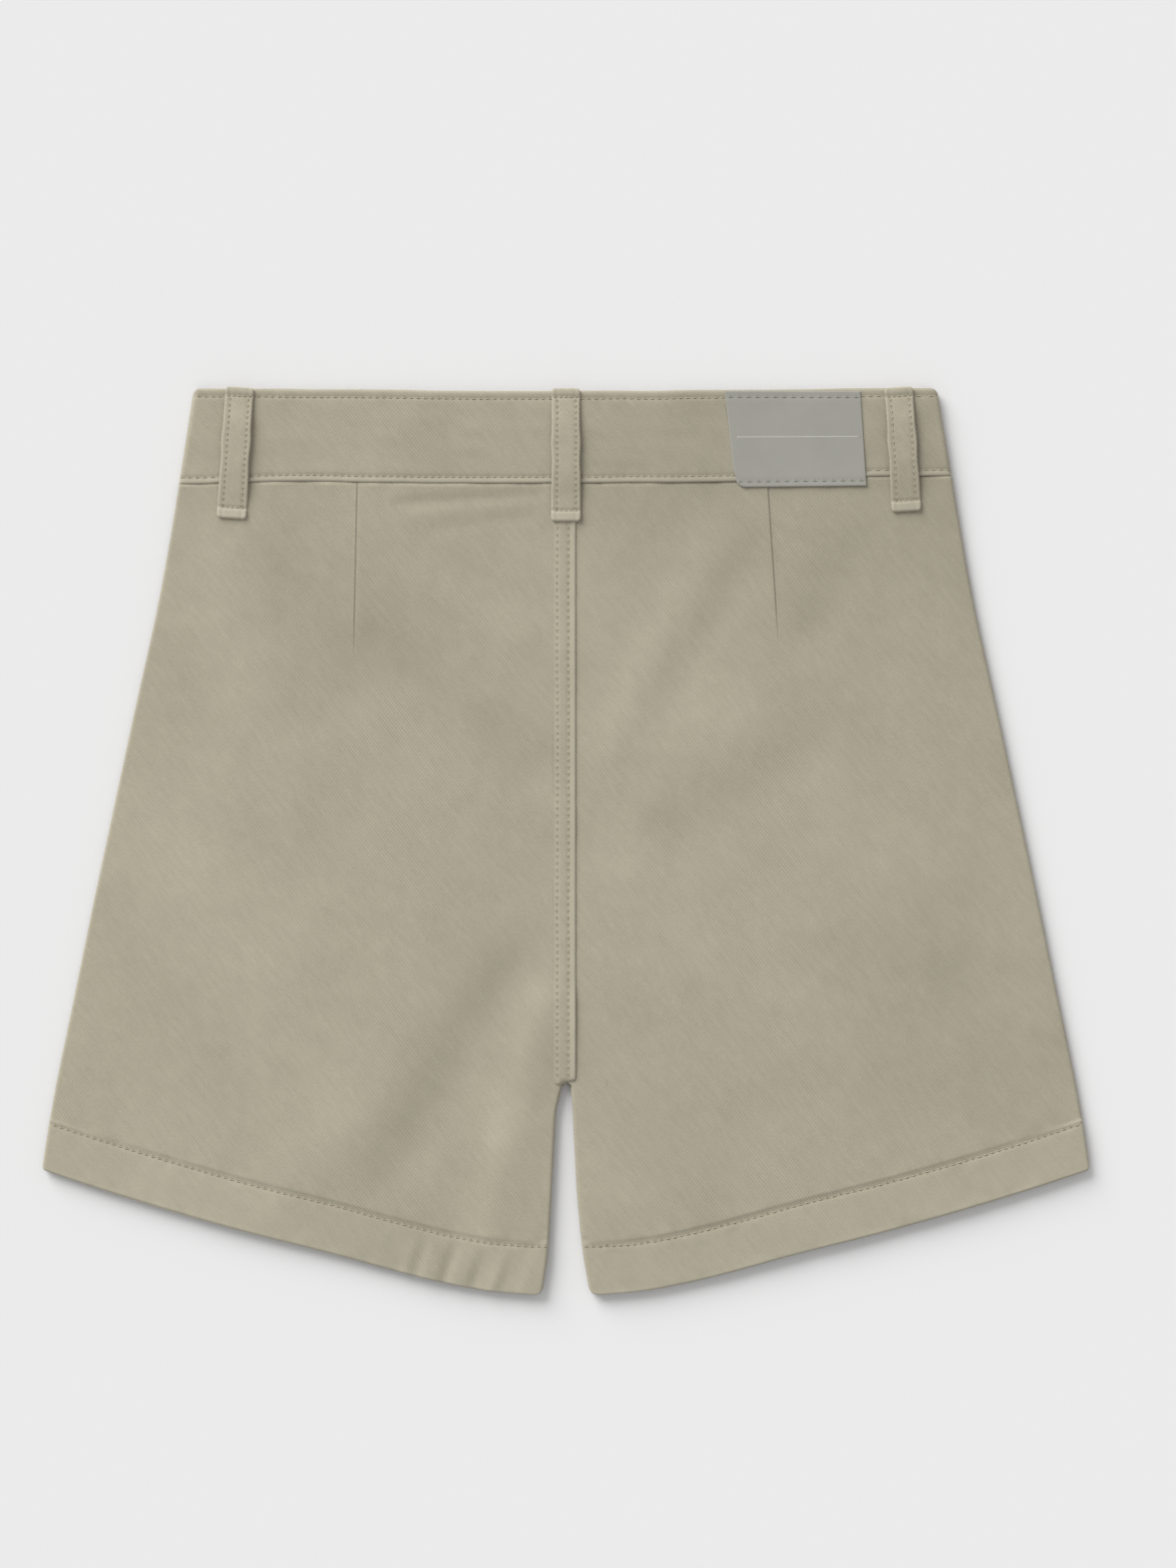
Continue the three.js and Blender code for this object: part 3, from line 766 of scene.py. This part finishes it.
def makeFell():
    shares = [0, 0.01, 0.03, 0.06, 0.1, 0.15, 0.2, 0.27, 0.34, 0.42, 0.5, 0.56, 0.62, 0.67]
    shares = np.array(shares + [0.72, 0.77, 0.82, 0.86, 0.9, 0.93, 0.955, 0.975, 0.99, 1])
    wide = fellShape["right"] - fellShape["left"]
    y = np.linspace(seamAt(0) - 0.2, crotchY, 180)[:, None] + 0 * shares
    x = fellShape["left"] + wide * shares + 0 * y
    below = smoothStep(6, 0, y - crotchY)
    y = y + fellShape["endSlant"] * (x - 0.5) * below  # the end is cut on a slant
    leg = np.maximum(backHeight(-1, -np.abs(x), y), backHeight(1, np.abs(x), y))
    leg = np.maximum(leg, layers["back"] + 0.1)
    rise = fellHeight(x, y)
    fromEnd = y - y.min(axis=0)
    top = leg + rise - 0.5 * roundOff(fromEnd, 0.8)
    under = np.minimum(leg + 0.05, top - 0.08)
    wear = 0.55 * bell(x - 3.5, 0.9) + 0.12  # palest on the ridge by the right edge
    return clothWall("centreBackFell", x, y, top, under, twill, wear + 0 * x)


fellPiece = makeFell()


def makeBackBand():
    near = np.append(edgeSteps, 6)
    down = [0, 0.1, 0.3, 0.6, 1.0, 1.5, 2.1, 2.6, 3.0, 3.5, 4.0, 4.5, 5.2, 6.5, 8, 10]
    rise = [4.6, 4.0, 3.5, 3.2, 2.9, 2.6, 2.2, 1.8, 1.3, 0.9, 0.6, 0.35, 0.15, 0]
    left, right = bandLow[0], bandHigh[0]
    spread = np.linspace(left + near[-1], right - near[-1], 190)[1:-1]
    seamX = np.concatenate([left + near, spread, right - near[::-1]])
    cornerX = np.minimum(seamX - left, right - seamX)
    topY = bandTopAt(seamX) - roundOff(cornerX, bandCloth["corner"])
    lowY = seamAt(seamX)
    shares = np.linspace(0, 1, 18)[1:-1, None]
    middle = topY - down[-1] + (lowY + rise[0] - topY + down[-1]) * shares
    y = np.concatenate([topY - np.array(down)[:, None], middle, lowY + np.array(rise)[:, None]])
    narrow = bandCloth["lean"] * (y - lowY) / (bandTopAt(seamX) - lowY)
    x = seamX - (seamX - (left + right) / 2) / (right - left) * 2 * narrow
    top = bandHeight(x, y)
    fromEnd = np.broadcast_to(cornerX, y.shape)
    # near its ends the wall turns down to the front waistband
    under = np.where(fromEnd < bandCloth["wall"], bandCloth["endFoot"], top - bandCloth["wall"])
    fromTop, fromLow = bandTopAt(x) - y, y - seamAt(x)
    wear = 0.35 * bell(fromTop, 1.5) + 0.75 * bell(fromLow - 1.0, 0.9)
    return clothWall("backWaistband", x, y, top, under, twill, wear)


backBand = makeBackBand()
print("waistband made")

# the layers beneath


underLayers = {
    "front": {"foot": 1.3, "hemFoot": 1.8, "wall": 1.1, "inset": 0.8, "hemExtra": 0.6},
    "skirt": {"foot": 0.0, "hemFoot": 0.0, "wall": 1.0, "inset": 1.6, "hemExtra": 0.5},
}
sideClear = 1.2  # the back's turned edges come down outside these layers


def makeUnder(kind, side):
    layer = underLayers[kind]
    inset = layer["inset"]
    rows = [26, 22.5, 21, 19, 12, 5, 2 + inset, 0.8 + inset, 0.2 + inset, inset]
    x, y = legGrid(side, 48, 60, inset + sideClear, rows)
    fromFold = y - hemAt(side, x) - inset
    hem = smoothStep(22, 20, fromFold)
    under = layer["foot"] + (layer["hemFoot"] - layer["foot"]) * hem
    top = under + layer["wall"] + layer["hemExtra"] * hem - 0.5 * roundOff(np.maximum(fromFold, 0), 0.7)
    return clothWall(kind + ("Left" if side < 0 else "Right"), x, y, top, under, twill, 0.25 * hem)


frontPieces, skirtPieces = {}, {}
for side in (-1, 1):
    frontPieces[side] = makeUnder("front", side)
    skirtPieces[side] = makeUnder("skirt", side)


def makeFrontBand():
    low, high = boxOf("front_waistband")
    seamX = np.linspace(low[0], high[0], 90)
    cornerX = np.minimum(seamX - low[0], high[0] - seamX)
    topY = bandTopAt(seamX) - roundOff(cornerX, bandCloth["corner"]) - 0.7
    lowY = seamAt(seamX)
    shares = np.array([0, 0.01, 0.03, 0.1, 0.3, 0.5, 0.7, 0.9, 0.97, 0.99, 1])[:, None]
    y = topY + (lowY - topY) * shares
    x = seamX - (seamX / high[0]) * bandCloth["lean"] * (1 - shares)
    top = high[2] - 0.5 * roundOff(np.minimum(topY - y, y - lowY), 0.8)
    return clothWall("frontWaistband", x, y, top, 0 * top, twill)


frontBand = makeFrontBand()
print("front layers made")

# belt loops

loopShape = {
    "wall": 1.3,
    "bow": 1.2,
    "rows": 2.3,
    "tack": 4.8,
    "endPuff": 0.45,
    "half": 6.4,
    "topTack": 4.0,
    "furrow": 0.16,
    "corner": 2.0,
    "pinch": 0.34,
    "readIn": 6,
}


def loopAxis(node):  # the middle of a loop's two ends, read off its solid
    edges, (low, high) = nodeEdges(node), boxOf(node)
    readIn, half = loopShape["readIn"], loopShape["half"]
    topX = sum(crossing(edges, 1, high[1] - readIn)) / 2
    lowX = sum(crossing(edges, 1, low[1] + readIn)) / 2
    lean = (topX - lowX) / (high[1] - low[1] - 2 * readIn)
    top = (topX + lean * readIn, high[1] - abs(lean) * half)
    return top, (lowX - lean * readIn, low[1] + abs(lean) * half)


def loopPoint(axis, across, down):
    (topX, topY), (lowX, lowY) = axis
    length = math.hypot(topX - lowX, topY - lowY)
    alongX, alongY = (lowX - topX) / length, (lowY - topY) / length
    x = topX + alongX * down - alongY * across
    y = topY + alongY * down + alongX * across
    return x, y, length


def loopHeight(axis, across, down):
    x, y, length = loopPoint(axis, across, down)
    middleX, middleY, _ = loopPoint(axis, 0 * across, down)
    share, fromLow, half = down / length, length - down, loopShape["half"]
    # it climbs from the leg onto the waistband and bows off it between its tacks
    onLeg = layers["back"] + 0.75 + (fellShape["rise"] if abs(axis[0][0]) < half else 0)
    onBand = layers["band"] + 0.55
    climb = smoothStep(-12, -2, middleY - seamAt(middleX))
    bow = loopShape["bow"] * smoothStep(0.06, 0.3, share) * smoothStep(0.86, 0.55, share)
    under = onLeg + (onBand - onLeg) * climb + 0.08 + bow
    top = under + loopShape["wall"]
    for row in (-1, 1):
        top = top - loopShape["furrow"] * bell(across - row * (half - loopShape["rows"]), 0.6)
    belowTack = loopShape["tack"] - fromLow
    top = top + loopShape["endPuff"] * smoothStep(-0.4, 1.2, belowTack) - 0.35 * bell(belowTack, 0.7)
    top = top + 0.25 * smoothStep(3.4, 2.2, down) - 0.25 * bell(down - loopShape["topTack"], 0.6)
    top = top + 0.08 * softNoise(across + axis[0][0], down, 3.6, 51)
    top = top - roundOff(fromLow, 1.0) - roundOff(down, 1.1)
    return under, top - 0.9 * roundOff(half - np.abs(across), 0.75)


def makeLoop(node, name):
    axis, half = loopAxis(node), loopShape["half"]
    length = loopPoint(axis, 0, 0)[2]
    near = np.array([0, 0.08, 0.2, 0.4, 0.7, 1.1])
    inner = half - near[-1]
    across = np.concatenate([-half + near, np.linspace(-inner, inner, 20)[1:-1], half - near[::-1]])
    topEnd = np.array([0, 0.08, 0.2, 0.45, 0.8, 1.2, 1.8, 2.5, 3.1, 3.6, 4.1, 4.6, 5.2])
    lowEnd = np.append(7 - np.linspace(0, 5.8, 14), [0.9, 0.6, 0.35, 0.15, 0.05, 0])
    middle = np.linspace(topEnd[-1], length - lowEnd[0], 46)[1:-1]
    down = np.concatenate([topEnd, middle, length - lowEnd])
    acrossGrid, downGrid = np.meshgrid(across, down)
    hand = np.sign(acrossGrid)
    pinch = loopShape["pinch"] * softNoise(3 * hand, downGrid, 8, 52) * hand
    corner = roundOff(np.minimum(downGrid, length - downGrid), loopShape["corner"]) * hand
    share = np.abs(acrossGrid) / half
    spread = acrossGrid + pinch * share - 0.8 * corner * share**4
    x, y, _ = loopPoint(axis, spread, downGrid)
    under, top = loopHeight(axis, acrossGrid, downGrid)
    under = np.minimum(under, top - 0.1)
    fromLow = length - downGrid
    wear = 0.35 * bell(half - np.abs(acrossGrid), 0.9)
    wear = wear + 0.8 * smoothStep(loopShape["tack"], loopShape["tack"] - 1.5, fromLow)
    wear = wear + 0.35 * smoothStep(2.6, 1.6, downGrid)
    return clothWall(name, x, y, top, under, loopTwill, wear), axis, length


loopNodes = {"loop_left": "loopLeft", "loop_centre": "loopCentre", "loop_right": "loopRight"}
loopPieces = {node: makeLoop(node, name) for node, name in loopNodes.items()}
print("belt loops made")

# the bare patch

patchShape = {
    "wall": 0.55,
    "lift": 0.62,
    "rows": 2.6,
    "pitch": 3.9,
    "furrow": 0.16,
    "wornCorner": 4.5,
    "ruleDown": 20.6,
    "ruleWide": 0.32,
    "readIn": 4,
}


def patchCorners():  # carried on from where the solid's edges are straight
    edges, (low, high), readIn = nodeEdges("label"), boxOf("label"), patchShape["readIn"]
    upY, downY = high[1] - readIn, low[1] + readIn
    up, down = crossing(edges, 1, upY), crossing(edges, 1, downY)
    left = (up[0] - down[0]) / (upY - downY)
    right = (up[1] - down[1]) / (upY - downY)
    topLeft = (up[0] + left * readIn, crossing(edges, 0, low[0] + 6)[1])
    topRight = (up[1] + right * readIn, crossing(edges, 0, high[0] - 6)[1])
    lowLeft = (down[0] - left * readIn, crossing(edges, 0, low[0] + 9)[0])
    lowRight = (down[1] - right * readIn, crossing(edges, 0, high[0] - 6)[0])
    return [np.array(corner) for corner in (topLeft, topRight, lowLeft, lowRight)]


topLeft, topRight, lowLeft, lowRight = patchCorners()
patchWide, patchDeep = np.hypot(*(topRight - topLeft)), np.hypot(*(topLeft - lowLeft))


def patchPoint(acrossShare, downShare):
    acrossShare = np.asarray(acrossShare)[..., None]
    downShare = np.asarray(downShare)[..., None]
    upper = topLeft + (topRight - topLeft) * acrossShare
    lower = lowLeft + (lowRight - lowLeft) * acrossShare
    place = upper + (lower - upper) * downShare
    return place[..., 0], place[..., 1]


def patchHeight(x, y, across, down):  # across and down are measured from the top left corner
    top = layers["band"] + patchShape["lift"] + patchShape["wall"]
    top = top + 0.16 * softNoise(x, y, 24, 23) + 0.1 * softNoise(x, y, 17, 61)
    for row in (patchShape["rows"], patchDeep - patchShape["rows"]):
        top = top - patchShape["furrow"] * bell(down - row, 0.8)
        top = top + 0.05 * softNoise(x, 0 * y, 3.9, 62) * bell(down - row, 3)
    edge = np.minimum(np.minimum(across, patchWide - across), np.minimum(down, patchDeep - down))
    return top - roundOff(np.maximum(edge, 0), 0.4)


def makePatch():
    near = np.array([0, 0.05, 0.15, 0.3, 0.5, 0.8, 1.3])

    def steps(size, count):
        middle = np.linspace(near[-1], size - near[-1], count)[1:-1]
        return np.concatenate([near, middle, size - near[::-1]])

    acrossGrid, downGrid = np.meshgrid(steps(patchWide, 50), steps(patchDeep, 46))
    x, y = patchPoint(acrossGrid / patchWide, downGrid / patchDeep)
    # the low left corner is worn round
    worn = roundOff(acrossGrid, patchShape["wornCorner"])
    y = y + worn * smoothStep(patchDeep - 9, patchDeep, downGrid)
    top = patchHeight(x, y, acrossGrid, downGrid)
    return clothWall("barePatch", x, y, top, top - patchShape["wall"] + 0.1, patchFace)


patchPiece = makePatch()


def makeRule():
    across = np.linspace(3.2, patchWide - 1.6, 60)
    shares = np.array([-1, -0.6, 0, 0.6, 1]) * patchShape["ruleWide"]
    acrossGrid, offset = np.meshgrid(across, shares)
    downGrid = patchShape["ruleDown"] + offset
    x, y = patchPoint(acrossGrid / patchWide, downGrid / patchDeep)
    top = patchHeight(x, y, acrossGrid, downGrid)
    top = top + 0.05 * (1 - (offset / patchShape["ruleWide"]) ** 2)
    return clothWall("patchRule", x, y, top, top - 0.08, patchRule)


rulePiece = makeRule()
print("patch made")

# topstitching, by Geometry Nodes

stitchShape = {"pitch": 3.0, "loopPitch": 2.6, "thread": 0.34, "hole": 0.55, "proud": 0.06}


def makeStitchTree():
    tree = bpy.data.node_groups.new("topstitch", "GeometryNodeTree")
    tree.interface.new_socket("Geometry", in_out="INPUT", socket_type="NodeSocketGeometry")
    for label in ("Pitch", "Thread Radius", "Hole Radius"):
        tree.interface.new_socket(label, in_out="INPUT", socket_type="NodeSocketFloat")
    for label in ("Thread", "Hole"):
        tree.interface.new_socket(label, in_out="INPUT", socket_type="NodeSocketMaterial")
    tree.interface.new_socket("Geometry", in_out="OUTPUT", socket_type="NodeSocketGeometry")
    given, result = tree.nodes.new("NodeGroupInput"), tree.nodes.new("NodeGroupOutput")
    link = tree.links.new
    toPoints = tree.nodes.new("GeometryNodeCurveToPoints")
    toPoints.mode = "LENGTH"
    link(given.outputs["Geometry"], toPoints.inputs["Curve"])
    link(given.outputs["Pitch"], toPoints.inputs["Length"])
    align = tree.nodes.new("FunctionNodeAlignRotationToVector")
    align.axis = "X"
    link(toPoints.outputs["Tangent"], align.inputs["Vector"])
    halfPitch = mathNode(tree, "MULTIPLY", given.outputs["Pitch"], 0.40)
    shift = mathNode(tree, "MULTIPLY", given.outputs["Pitch"], 0.5)
    parts = []
    # the Hole instances are dark dots that paint the shade of the needle holes
    for kind in ("Thread", "Hole"):
        ball = tree.nodes.new("GeometryNodeMeshUVSphere")
        ball.inputs["Segments"].default_value = 8
        ball.inputs["Rings"].default_value = 5
        ball.inputs["Radius"].default_value = 1.0
        place = tree.nodes.new("GeometryNodeInstanceOnPoints")
        link(toPoints.outputs["Points"], place.inputs["Points"])
        link(ball.outputs["Mesh"], place.inputs["Instance"])
        link(align.outputs["Rotation"], place.inputs["Rotation"])
        size = tree.nodes.new("ShaderNodeCombineXYZ")
        radius = given.outputs[f"{kind} Radius"]
        link(halfPitch if kind == "Thread" else mathNode(tree, "MULTIPLY", radius, 1.25), size.inputs["X"])
        link(radius, size.inputs["Y"])
        link(mathNode(tree, "MULTIPLY", radius, 0.8 if kind == "Thread" else 0.4), size.inputs["Z"])
        link(size.outputs[0], place.inputs["Scale"])
        move = tree.nodes.new("GeometryNodeTranslateInstances")
        offset = tree.nodes.new("ShaderNodeCombineXYZ")
        if kind == "Hole":
            link(shift, offset.inputs["X"])
        link(place.outputs["Instances"], move.inputs["Instances"])
        link(offset.outputs[0], move.inputs["Translation"])
        real = tree.nodes.new("GeometryNodeRealizeInstances")
        link(move.outputs["Instances"], real.inputs["Geometry"])
        paint = tree.nodes.new("GeometryNodeSetMaterial")
        link(real.outputs["Geometry"], paint.inputs["Geometry"])
        link(given.outputs[kind], paint.inputs["Material"])
        parts.append(paint.outputs["Geometry"])
    join = tree.nodes.new("GeometryNodeJoinGeometry")
    for part in reversed(parts):
        link(part, join.inputs["Geometry"])
    link(join.outputs["Geometry"], result.inputs["Geometry"])
    return tree


stitchTree = makeStitchTree()
stitchInputs = {
    item.name: item.identifier for item in stitchTree.interface.items_tree if item.in_out == "INPUT"
}


def stitchPiece(name, rows, pitch, threadMaterial, holeShadeMaterial):
    curve = bpy.data.curves.new(name + "Rows", "CURVE")
    curve.dimensions = "3D"
    for points in rows:
        spline = curve.splines.new("POLY")
        spline.points.add(len(points) - 1)
        flat = np.concatenate([np.asarray(points) * mm, np.ones((len(points), 1))], 1)
        spline.points.foreach_set("co", flat.reshape(-1))
    source = bpy.data.objects.new(name + "Rows", curve)
    bpy.context.scene.collection.objects.link(source)
    modifier = source.modifiers.new("stitches", "NODES")
    modifier.node_group = stitchTree
    modifier[stitchInputs["Pitch"]] = pitch * mm
    modifier[stitchInputs["Thread Radius"]] = stitchShape["thread"] * mm
    modifier[stitchInputs["Hole Radius"]] = stitchShape["hole"] * mm
    modifier[stitchInputs["Thread"]] = threadMaterial
    modifier[stitchInputs["Hole"]] = holeShadeMaterial
    evaluated = source.evaluated_get(bpy.context.evaluated_depsgraph_get())
    mesh = bpy.data.meshes.new_from_object(evaluated)
    mesh.name = name
    bpy.data.objects.remove(source)
    made = bpy.data.objects.new(name, mesh)
    bpy.context.scene.collection.objects.link(made)
    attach(made, "root")
    return made


def clothStitches(name, rows, pitch=stitchShape["pitch"]):
    return stitchPiece(name, rows, pitch, thread, needleHoleShade)


def bandRow(left, right, atTop, distance):
    x = np.linspace(left, right, 160)
    y = bandTopAt(x) - distance if atTop else seamAt(x) + distance
    y = y + 0.12 * softNoise(x, 0 * x, 14, 71)
    return np.stack([x, y, bandHeight(x, y) + stitchShape["proud"]], -1)


rowStops = {"loop": 7.0, "patch": 0.8, "topEnd": 9, "lowEnd": 1.5}  # how far short each row stops


def bandSpans(patchLeft, patchRight, end):  # the stretches between the ends, the loops and the patch
    stops = [bandLow[0] + end]
    for node in loopNodes:
        if node == "loop_right":
            stops += [patchLeft - rowStops["patch"], patchRight + rowStops["patch"]]
        middle = sum(corner[0] for corner in boxOf(node)) / 2
        stops += [middle - rowStops["loop"], middle + rowStops["loop"]]
    stops.append(bandHigh[0] - end)
    return zip(stops[::2], stops[1::2])


topSpans = bandSpans(topLeft[0], topRight[0], rowStops["topEnd"])
lowSpans = bandSpans(lowLeft[0], lowRight[0], rowStops["lowEnd"])
bandRows = [bandRow(left, right, True, bandCloth["topRow"]) for left, right in topSpans]
bandRows += [bandRow(left, right, False, bandCloth["lowRow"]) for left, right in lowSpans]
bandStitches = clothStitches("waistbandStitches", bandRows)


def hemRow(side):
    shape = outlines[side]
    x = side * np.linspace(shape["outerX"] - 5.5, shape["innerX"] - 1.5, 200)
    straightX = side * np.maximum(np.abs(x), shape["innerX"] + 5)  # past the rounded corner
    y = hemAt(side, straightX) + backCloth["hemDepth"] / backCloth["hemLean"]
    keep = (np.abs(x) < sideAt(side, y) - 0.8) & (np.abs(x) > inseamAt(side, y) + 0.8)
    x, y = x[keep], y[keep]
    y = y + 0.15 * softNoise(x, 0 * x, 17, 72)
    return np.stack([x, y, backHeight(side, x, y) + stitchShape["proud"]], -1)


hemStitches = clothStitches("hemStitches", [hemRow(-1), hemRow(1)])


def fellRow(rowX):
    y = np.linspace(seamAt(0) - 17, crotchY + 3.5, 200)
    x = rowX + 0.12 * softNoise(0 * y, y, 16, 73)
    leg = np.maximum(backHeight(-1, -np.abs(x), y), backHeight(1, np.abs(x), y))
    return np.stack([x, y, leg + fellHeight(x, y) + stitchShape["proud"]], -1)


fellStitches = clothStitches("fellStitches", [fellRow(x) for x in fellShape["rows"]])


def loopRows(axis, length):
    def row(across, down, proud):
        x, y, _ = loopPoint(axis, across, down)
        return np.stack([x, y, loopHeight(axis, across, down)[1] + proud], -1)

    rows = []
    down = np.linspace(5.5, length - loopShape["tack"] - 1, 60)
    for hand in (-1, 1):
        wander = 0.15 * softNoise(0 * down, down, 11, 74 + hand)
        rows.append(row(hand * (loopShape["half"] - loopShape["rows"]) + wander, down, 0.05))
    # a zigzag tack across each end
    across = np.linspace(-4.6, 4.6, 24)
    for place in (length - loopShape["tack"], loopShape["topTack"]):
        zigzag = 0.25 * np.sin(np.arange(24) * math.pi / 1.5)
        rows.append(row(across, place + zigzag, 0.08))
    return rows


loopStitchRows = []
for piece, axis, length in loopPieces.values():
    loopStitchRows += loopRows(axis, length)
loopStitches = clothStitches("loopStitches", loopStitchRows, stitchShape["loopPitch"])


def patchRow(down):
    across = np.linspace(2.2, patchWide - 2.2, 70)
    x, y = patchPoint(across / patchWide, 0 * across + down / patchDeep)
    return np.stack([x, y, patchHeight(x, y, across, down) + 0.04], -1)


patchRows = [patchRow(patchShape["rows"]), patchRow(patchDeep - patchShape["rows"])]
patchStitches = stitchPiece("patchStitches", patchRows, patchShape["pitch"], patchFace, patchHoleShade)
print("stitches made")

# what each piece rides on, stands for and was cut to



def standFor(piece, node):
    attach(piece, "root")
    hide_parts(node)


for side, label in ((-1, "left"), (1, "right")):
    standFor(backPieces[side], f"back_{label}")
    standFor(frontPieces[side], f"front_{label}")
    standFor(skirtPieces[side], f"skirt_{label}")
standFor(fellPiece, "centre_back_fell")
standFor(backBand, "back_waistband")
standFor(frontBand, "front_waistband")
for node, (piece, axis, length) in loopPieces.items():
    standFor(piece, node)
standFor(patchPiece, "label")
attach(rulePiece, "root")

# floor, light and camera

stageLook = {
    "floor": 0.831,
    "floorReach": 12.0,
    "worldLevel": 0.53,
    "keyLevel": 0.47,
    "keyElevation": 29.0,
    "keyBearing": 128.0,
    "keySoftness": 42.0,
}


def makeFloor():
    mesh = bpy.data.meshes.new("floor")
    reach = stageLook["floorReach"]
    corners = [(-reach, -reach, 0), (reach, -reach, 0), (reach, reach, 0), (-reach, reach, 0)]
    mesh.from_pydata(corners, [], [(0, 1, 2, 3)])
    floor = bpy.data.objects.new("floor", mesh)
    bpy.context.scene.collection.objects.link(floor)
    material = bpy.data.materials.new("paleFloor")
    material.use_nodes = True
    shader = material.node_tree.nodes["Principled BSDF"]
    shader.inputs["Base Color"].default_value = (*[stageLook["floor"]] * 3, 1)
    shader.inputs["Roughness"].default_value = 0.95
    shader.inputs["Specular IOR Level"].default_value = 0.0
    mesh.materials.append(material)


def makeLights():
    world = bpy.data.worlds.new("studio")
    world.use_nodes = True
    background = world.node_tree.nodes["Background"]
    background.inputs["Color"].default_value = (1, 1, 1, 1)
    background.inputs["Strength"].default_value = stageLook["worldLevel"]
    bpy.context.scene.world = world
    lamp = bpy.data.lights.new("key", "SUN")
    lamp.angle = math.radians(stageLook["keySoftness"])
    elevation = math.radians(stageLook["keyElevation"])
    bearing = math.radians(stageLook["keyBearing"])
    lamp.energy = stageLook["keyLevel"] * math.pi / math.sin(elevation)
    key = bpy.data.objects.new("key", lamp)
    level = math.cos(elevation)
    toward = Vector((math.cos(bearing) * level, math.sin(bearing) * level, math.sin(elevation)))
    key.rotation_mode = "QUATERNION"
    key.rotation_quaternion = toward.to_track_quat("Z", "Y")
    bpy.context.scene.collection.objects.link(key)


cameraLook = {"lens": 100.0, "sensor": 36.0, "fieldHigh": 0.6917, "x": 0.0097, "y": 0.0249}


def makeCamera():  # straight above, high enough for the field it takes in
    camera = bpy.data.cameras.new("camera")
    camera.lens = cameraLook["lens"]
    camera.sensor_width = cameraLook["sensor"]
    holder = bpy.data.objects.new("camera", camera)
    away = cameraLook["lens"] / cameraLook["sensor"] * cameraLook["fieldHigh"]
    holder.location = (cameraLook["x"], cameraLook["y"], away + layers["back"] * mm)
    bpy.context.scene.collection.objects.link(holder)
    bpy.context.scene.camera = holder


makeFloor()
makeLights()
makeCamera()
bpy.context.scene.view_settings.view_transform = "Standard"
print("stage ready")
